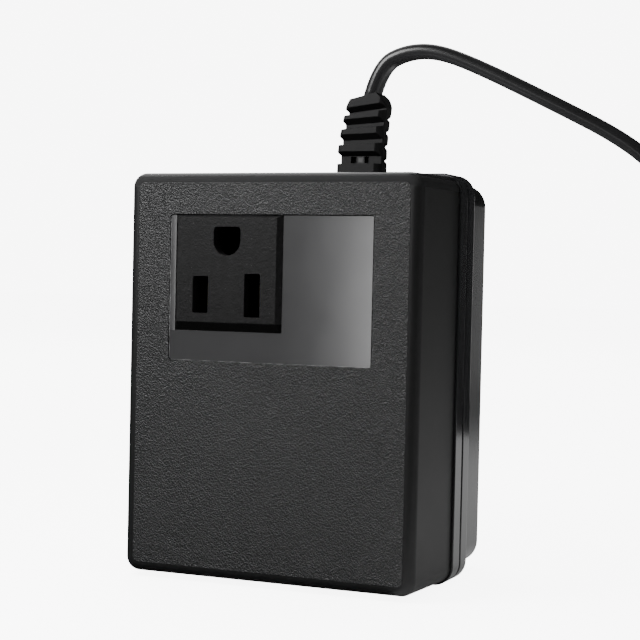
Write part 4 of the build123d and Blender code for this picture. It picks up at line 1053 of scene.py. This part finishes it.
def face_slot(way, floor_out, floor_in, roof_out, roof_in, slope):
    """The cutter of one slot of the strain relief: way is -1 for the front and 1 for the back."""
    face = relief_face(way)
    low, high = FLANGE_TOP + (2 * floor_out - floor_in), FLANGE_TOP + (2 * roof_out - roof_in)
    cutter = slot_cutter(
        (0.0, face - RELIEF_SLOT_DEPTH, low),
        (2 * RELIEF_MIDDLE, face + RELIEF_SLOT_DEPTH, high),
        lambda place: (place.y - face * MM) * way < 0,
        floor_in - (2 * floor_out - floor_in),
        roof_in - (2 * roof_out - roof_in),
    )
    tilt = RELIEF_MIDDLE * math.tan(math.radians(slope))
    shift(cutter, lambda vertex: vertex.co.x < RELIEF_MIDDLE * MM, (0.0, 0.0, -tilt))
    shift(cutter, lambda vertex: vertex.co.x > RELIEF_MIDDLE * MM, (0.0, 0.0, tilt))
    return cutter


def cord_end(size):
    """The cord's end that stands in the strain relief's cap."""
    (x, z), (next_x, next_z) = CORD_RUN[:2]
    heading = Vector((next_x - x, 0.0, next_z - z)).normalized()
    mouth = Vector((CORD_EXIT[0], SEAM_Y / MM, CORD_EXIT[1])) * MM
    line = [mouth - heading * CORD_STUB * MM, mouth + heading * STUB_OVERLAP * MM]
    end = swept_tube("stub", line, flat_section(size.width * STUB_SLIM, size.thickness * STUB_SLIM), "sheath")
    shade_by_angle(end, CORD_SMOOTH)
    return end


class CONVERTER_OT_relief(bpy.types.Operator):
    """Moulds the strain relief: a leaning column slotted from the front and the back, under the cord's cap"""

    bl_idname = "converter.relief"
    bl_label = "Strain relief"

    def execute(self, context):
        relief = relief_column()
        for side, rows in enumerate((FRONT_SLOTS, REAR_SLOTS)):
            for row in rows:
                cut(relief, face_slot((-1, 1)[side], *row))
                cut(relief, side_slot(side, *row))
        front = relief_face(-1)
        low, high = (FLANGE_TOP + rise for rise in WINDOW_RISES)
        for left, right in RELIEF_WINDOWS:
            cut(relief, box_piece("window", (left, front, low), (right, front + WINDOW_DEPTH, high)))
        for (x, rise), (across, up) in CAP_CUTS:
            bisect(relief, (x, SEAM_Y / MM, FLANGE_TOP + rise), (across, 0.0, up))
        soften(relief, *RELIEF_EDGES)
        foot = merged_copy("strain_relief", "relief_foot")
        bisect(foot, (0.0, 0.0, FLANGE_TOP - FOOT_GAP), (0.0, 0.0, 1.0))
        join(relief, foot, cord_end(context.scene.converter_cord))
        settle(relief, "relief", "relief_rubber", "strain_relief")
        return {"FINISHED"}


class CONVERTER_OT_plate(bpy.types.Operator):
    """Lays the glossy plate round the socket, its narrow left strip standing a little proud"""

    bl_idname = "converter.plate"
    bl_label = "Plate"

    def execute(self, context):
        left, right, low, high = PLATE_BOX
        near, far = (FRONT_Y / MM + depth for depth in PLATE_LAYER)
        plate = box_piece("plate", (left, near, low), (right, far, high))
        pick(plate, "EDGE", lambda edge: runs_along(edge, 1, PLATE_SLACK * MM))
        bpy.ops.mesh.bevel(offset=PLATE_CORNER * MM, segments=4, affect="EDGES")
        leave_edit()
        notch_left, notch_right, notch_low = PLATE_NOTCH
        near_right = (notch_right, far + CLEAR, high + CLEAR)
        cut(plate, box_piece("notch", (notch_left, near - CLEAR, notch_low), near_right))
        for z in (notch_low, notch_low - STRIP_BEND):
            bisect(plate, (0.0, 0.0, z), (0.0, 0.0, 1.0), clear=False)
        middle = (notch_low + high) / 2
        ends = ((notch_low - STRIP_BEND / 2, middle), (middle, high + CLEAR))
        for lift, (start, end) in zip(STRIP_LIFTS, ends):
            shift(
                plate,
                lambda vertex: vertex.co.x < (left + STRIP_EDGE) * MM
                and vertex.co.y < (near + PLATE_SLACK) * MM
                and start < vertex.co.z / MM < end,
                (0.0, -lift, 0.0),
            )
        soften(plate, *PLATE_EDGES)
        settle(plate, "plate", "plate_gloss", "rating_plate")
        return {"FINISHED"}


class CONVERTER_OT_socket(bpy.types.Operator):
    """Softens the moulded edges of the socket and of its slots"""

    bl_idname = "converter.socket"
    bl_label = "Socket"

    def execute(self, context):
        socket = merged_copy("socket_housing", "socket")
        soften(socket, *SOCKET_EDGES)
        settle(socket, "socket", "socket_plastic", "socket_housing")
        return {"FINISHED"}


class CONVERTER_OT_materials(bpy.types.Operator):
    """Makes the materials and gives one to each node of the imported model"""

    bl_idname = "converter.materials"
    bl_label = "Materials"

    def execute(self, context):
        palette.update(fill_palette(context.scene.converter_looks))
        for part in frame["record"]["subparts"]:
            node = frame["nodes"][part["node"]]
            node.data.materials.clear()
            node.data.materials.append(palette[part["material_slot"]])
        return {"FINISHED"}


def area_light(name, place, target, width, height, power):
    """A soft rectangular light that looks at a target and isn't seen itself."""
    lamp = bpy.data.lights.new(name, "AREA")
    lamp.shape = "RECTANGLE"
    lamp.size = width
    lamp.size_y = height
    lamp.energy = power
    light = new_object(name, lamp)
    direction = Vector(target) - Vector(place)
    light.matrix_world = Matrix.Translation(place) @ direction.to_track_quat("-Z", "Y").to_matrix().to_4x4()
    light.visible_camera = False
    return light


def floor_finish(stage):
    """The pale floor, lifted towards white where the camera sees it."""
    finish = Finish("pale_floor", tuple(stage.floor_colour), MATT)
    seen = finish.node("ShaderNodeLightPath").outputs["Is Camera Ray"]
    glow = finish.math("MULTIPLY", seen, stage.floor_glow)
    finish.shader.inputs["Emission Color"].default_value = WHITE
    finish.tree.links.new(glow, finish.shader.inputs["Emission Strength"])
    return finish.done()


def level_plane(name, edges, height, material):
    """A level plane between its left, right, near and far edges."""
    left, right, near, far = edges
    deselect()
    bpy.ops.mesh.primitive_plane_add(size=1.0, location=((left + right) / 2, (near + far) / 2, height))
    plane = bpy.context.object
    plane.scale = (right - left, far - near, 1.0)
    bpy.ops.object.transform_apply(location=True, rotation=True, scale=True)
    plane.name = name
    plane.data.materials.append(material)
    deselect()
    return plane


def fill_room(scene, stage):
    """Lights the room evenly: dimly where gloss mirrors it, and brightly where the camera sees it."""
    world = bpy.data.worlds.new("studio_room")
    scene.world = world
    world.use_nodes = True
    tree = world.node_tree
    background = tree.nodes["Background"].inputs
    background["Color"].default_value = WHITE
    ray = add_node(tree, "ShaderNodeLightPath").outputs
    unseen = {0: ray["Is Glossy Ray"], 2: stage.room_light, 3: stage.room_gloss}
    unseen = add_node(tree, "ShaderNodeMix", unseen).outputs[0]
    strength = add_node(tree, "ShaderNodeMix", {0: ray["Is Camera Ray"], 2: unseen, 3: stage.backdrop})
    tree.links.new(strength.outputs[0], background["Strength"])


class CONVERTER_OT_stage(bpy.types.Operator):
    """Lays the pale floor, sets the soft lights and fills the room with even light"""

    bl_idname = "converter.stage"
    bl_label = "Stage"

    def execute(self, context):
        stage = context.scene.converter_stage
        sheet_material = Finish("sheet", tuple(stage.sheet_colour), MATT).done()
        sheet = level_plane("floor_sheet", SHEET_BOX, SHEET_HEIGHT, sheet_material)
        sheet.visible_camera = False
        sheet.visible_diffuse = False
        sheet.visible_shadow = False
        reach = stage.floor_reach
        floor = level_plane("floor", (-reach, reach, -reach, reach), 0.0, floor_finish(stage))
        floor.visible_glossy = False
        for name, (setting, *layout) in LIGHTS.items():
            light = area_light(name, *layout, getattr(stage, setting))
            light.visible_glossy = name != UNMIRRORED_LIGHT
        fill_room(context.scene, stage)
        return {"FINISHED"}


class CONVERTER_PT_sidebar(bpy.types.Panel):
    """Lists the steps that build the converter's looks, and their sizes and colours"""

    bl_idname = "CONVERTER_PT_sidebar"
    bl_label = "Travel Voltage Converter"
    bl_space_type = "VIEW_3D"
    bl_region_type = "UI"
    bl_category = "Converter"

    def draw(self, context):
        layout = self.layout
        for step in STEPS:
            layout.operator(step.bl_idname)
        for name in GROUPS:
            settings = getattr(context.scene, name)
            box = layout.box()
            for setting in settings.bl_rna.properties:
                if setting.identifier not in ("name", "rna_type"):
                    box.prop(settings, setting.identifier)


STEPS = (
    CONVERTER_OT_camera,
    CONVERTER_OT_materials,
    CONVERTER_OT_cord,
    CONVERTER_OT_relief,
    CONVERTER_OT_plate,
    CONVERTER_OT_socket,
    CONVERTER_OT_stage,
)
GROUPS = {
    "converter_looks": ConverterLooks,
    "converter_cord": ConverterCord,
    "converter_stage": ConverterStage,
}
CLASSES = (*GROUPS.values(), *STEPS, CONVERTER_PT_sidebar)


def register():
    """Registers the classes and hangs the settings on the scene."""
    for item in CLASSES:
        bpy.utils.register_class(item)
    for name, group in GROUPS.items():
        setattr(bpy.types.Scene, name, PointerProperty(type=group))


def unregister():
    """Takes the settings and the classes away again."""
    for name in GROUPS:
        delattr(bpy.types.Scene, name)
    for item in reversed(CLASSES):
        bpy.utils.unregister_class(item)


def main():
    """Registers the add-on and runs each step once."""
    register()
    bpy.ops.converter.camera()
    bpy.ops.converter.materials()
    bpy.ops.converter.cord()
    bpy.ops.converter.relief()
    bpy.ops.converter.plate()
    bpy.ops.converter.socket()
    bpy.ops.converter.stage()


if __name__ == "__main__":
    main()
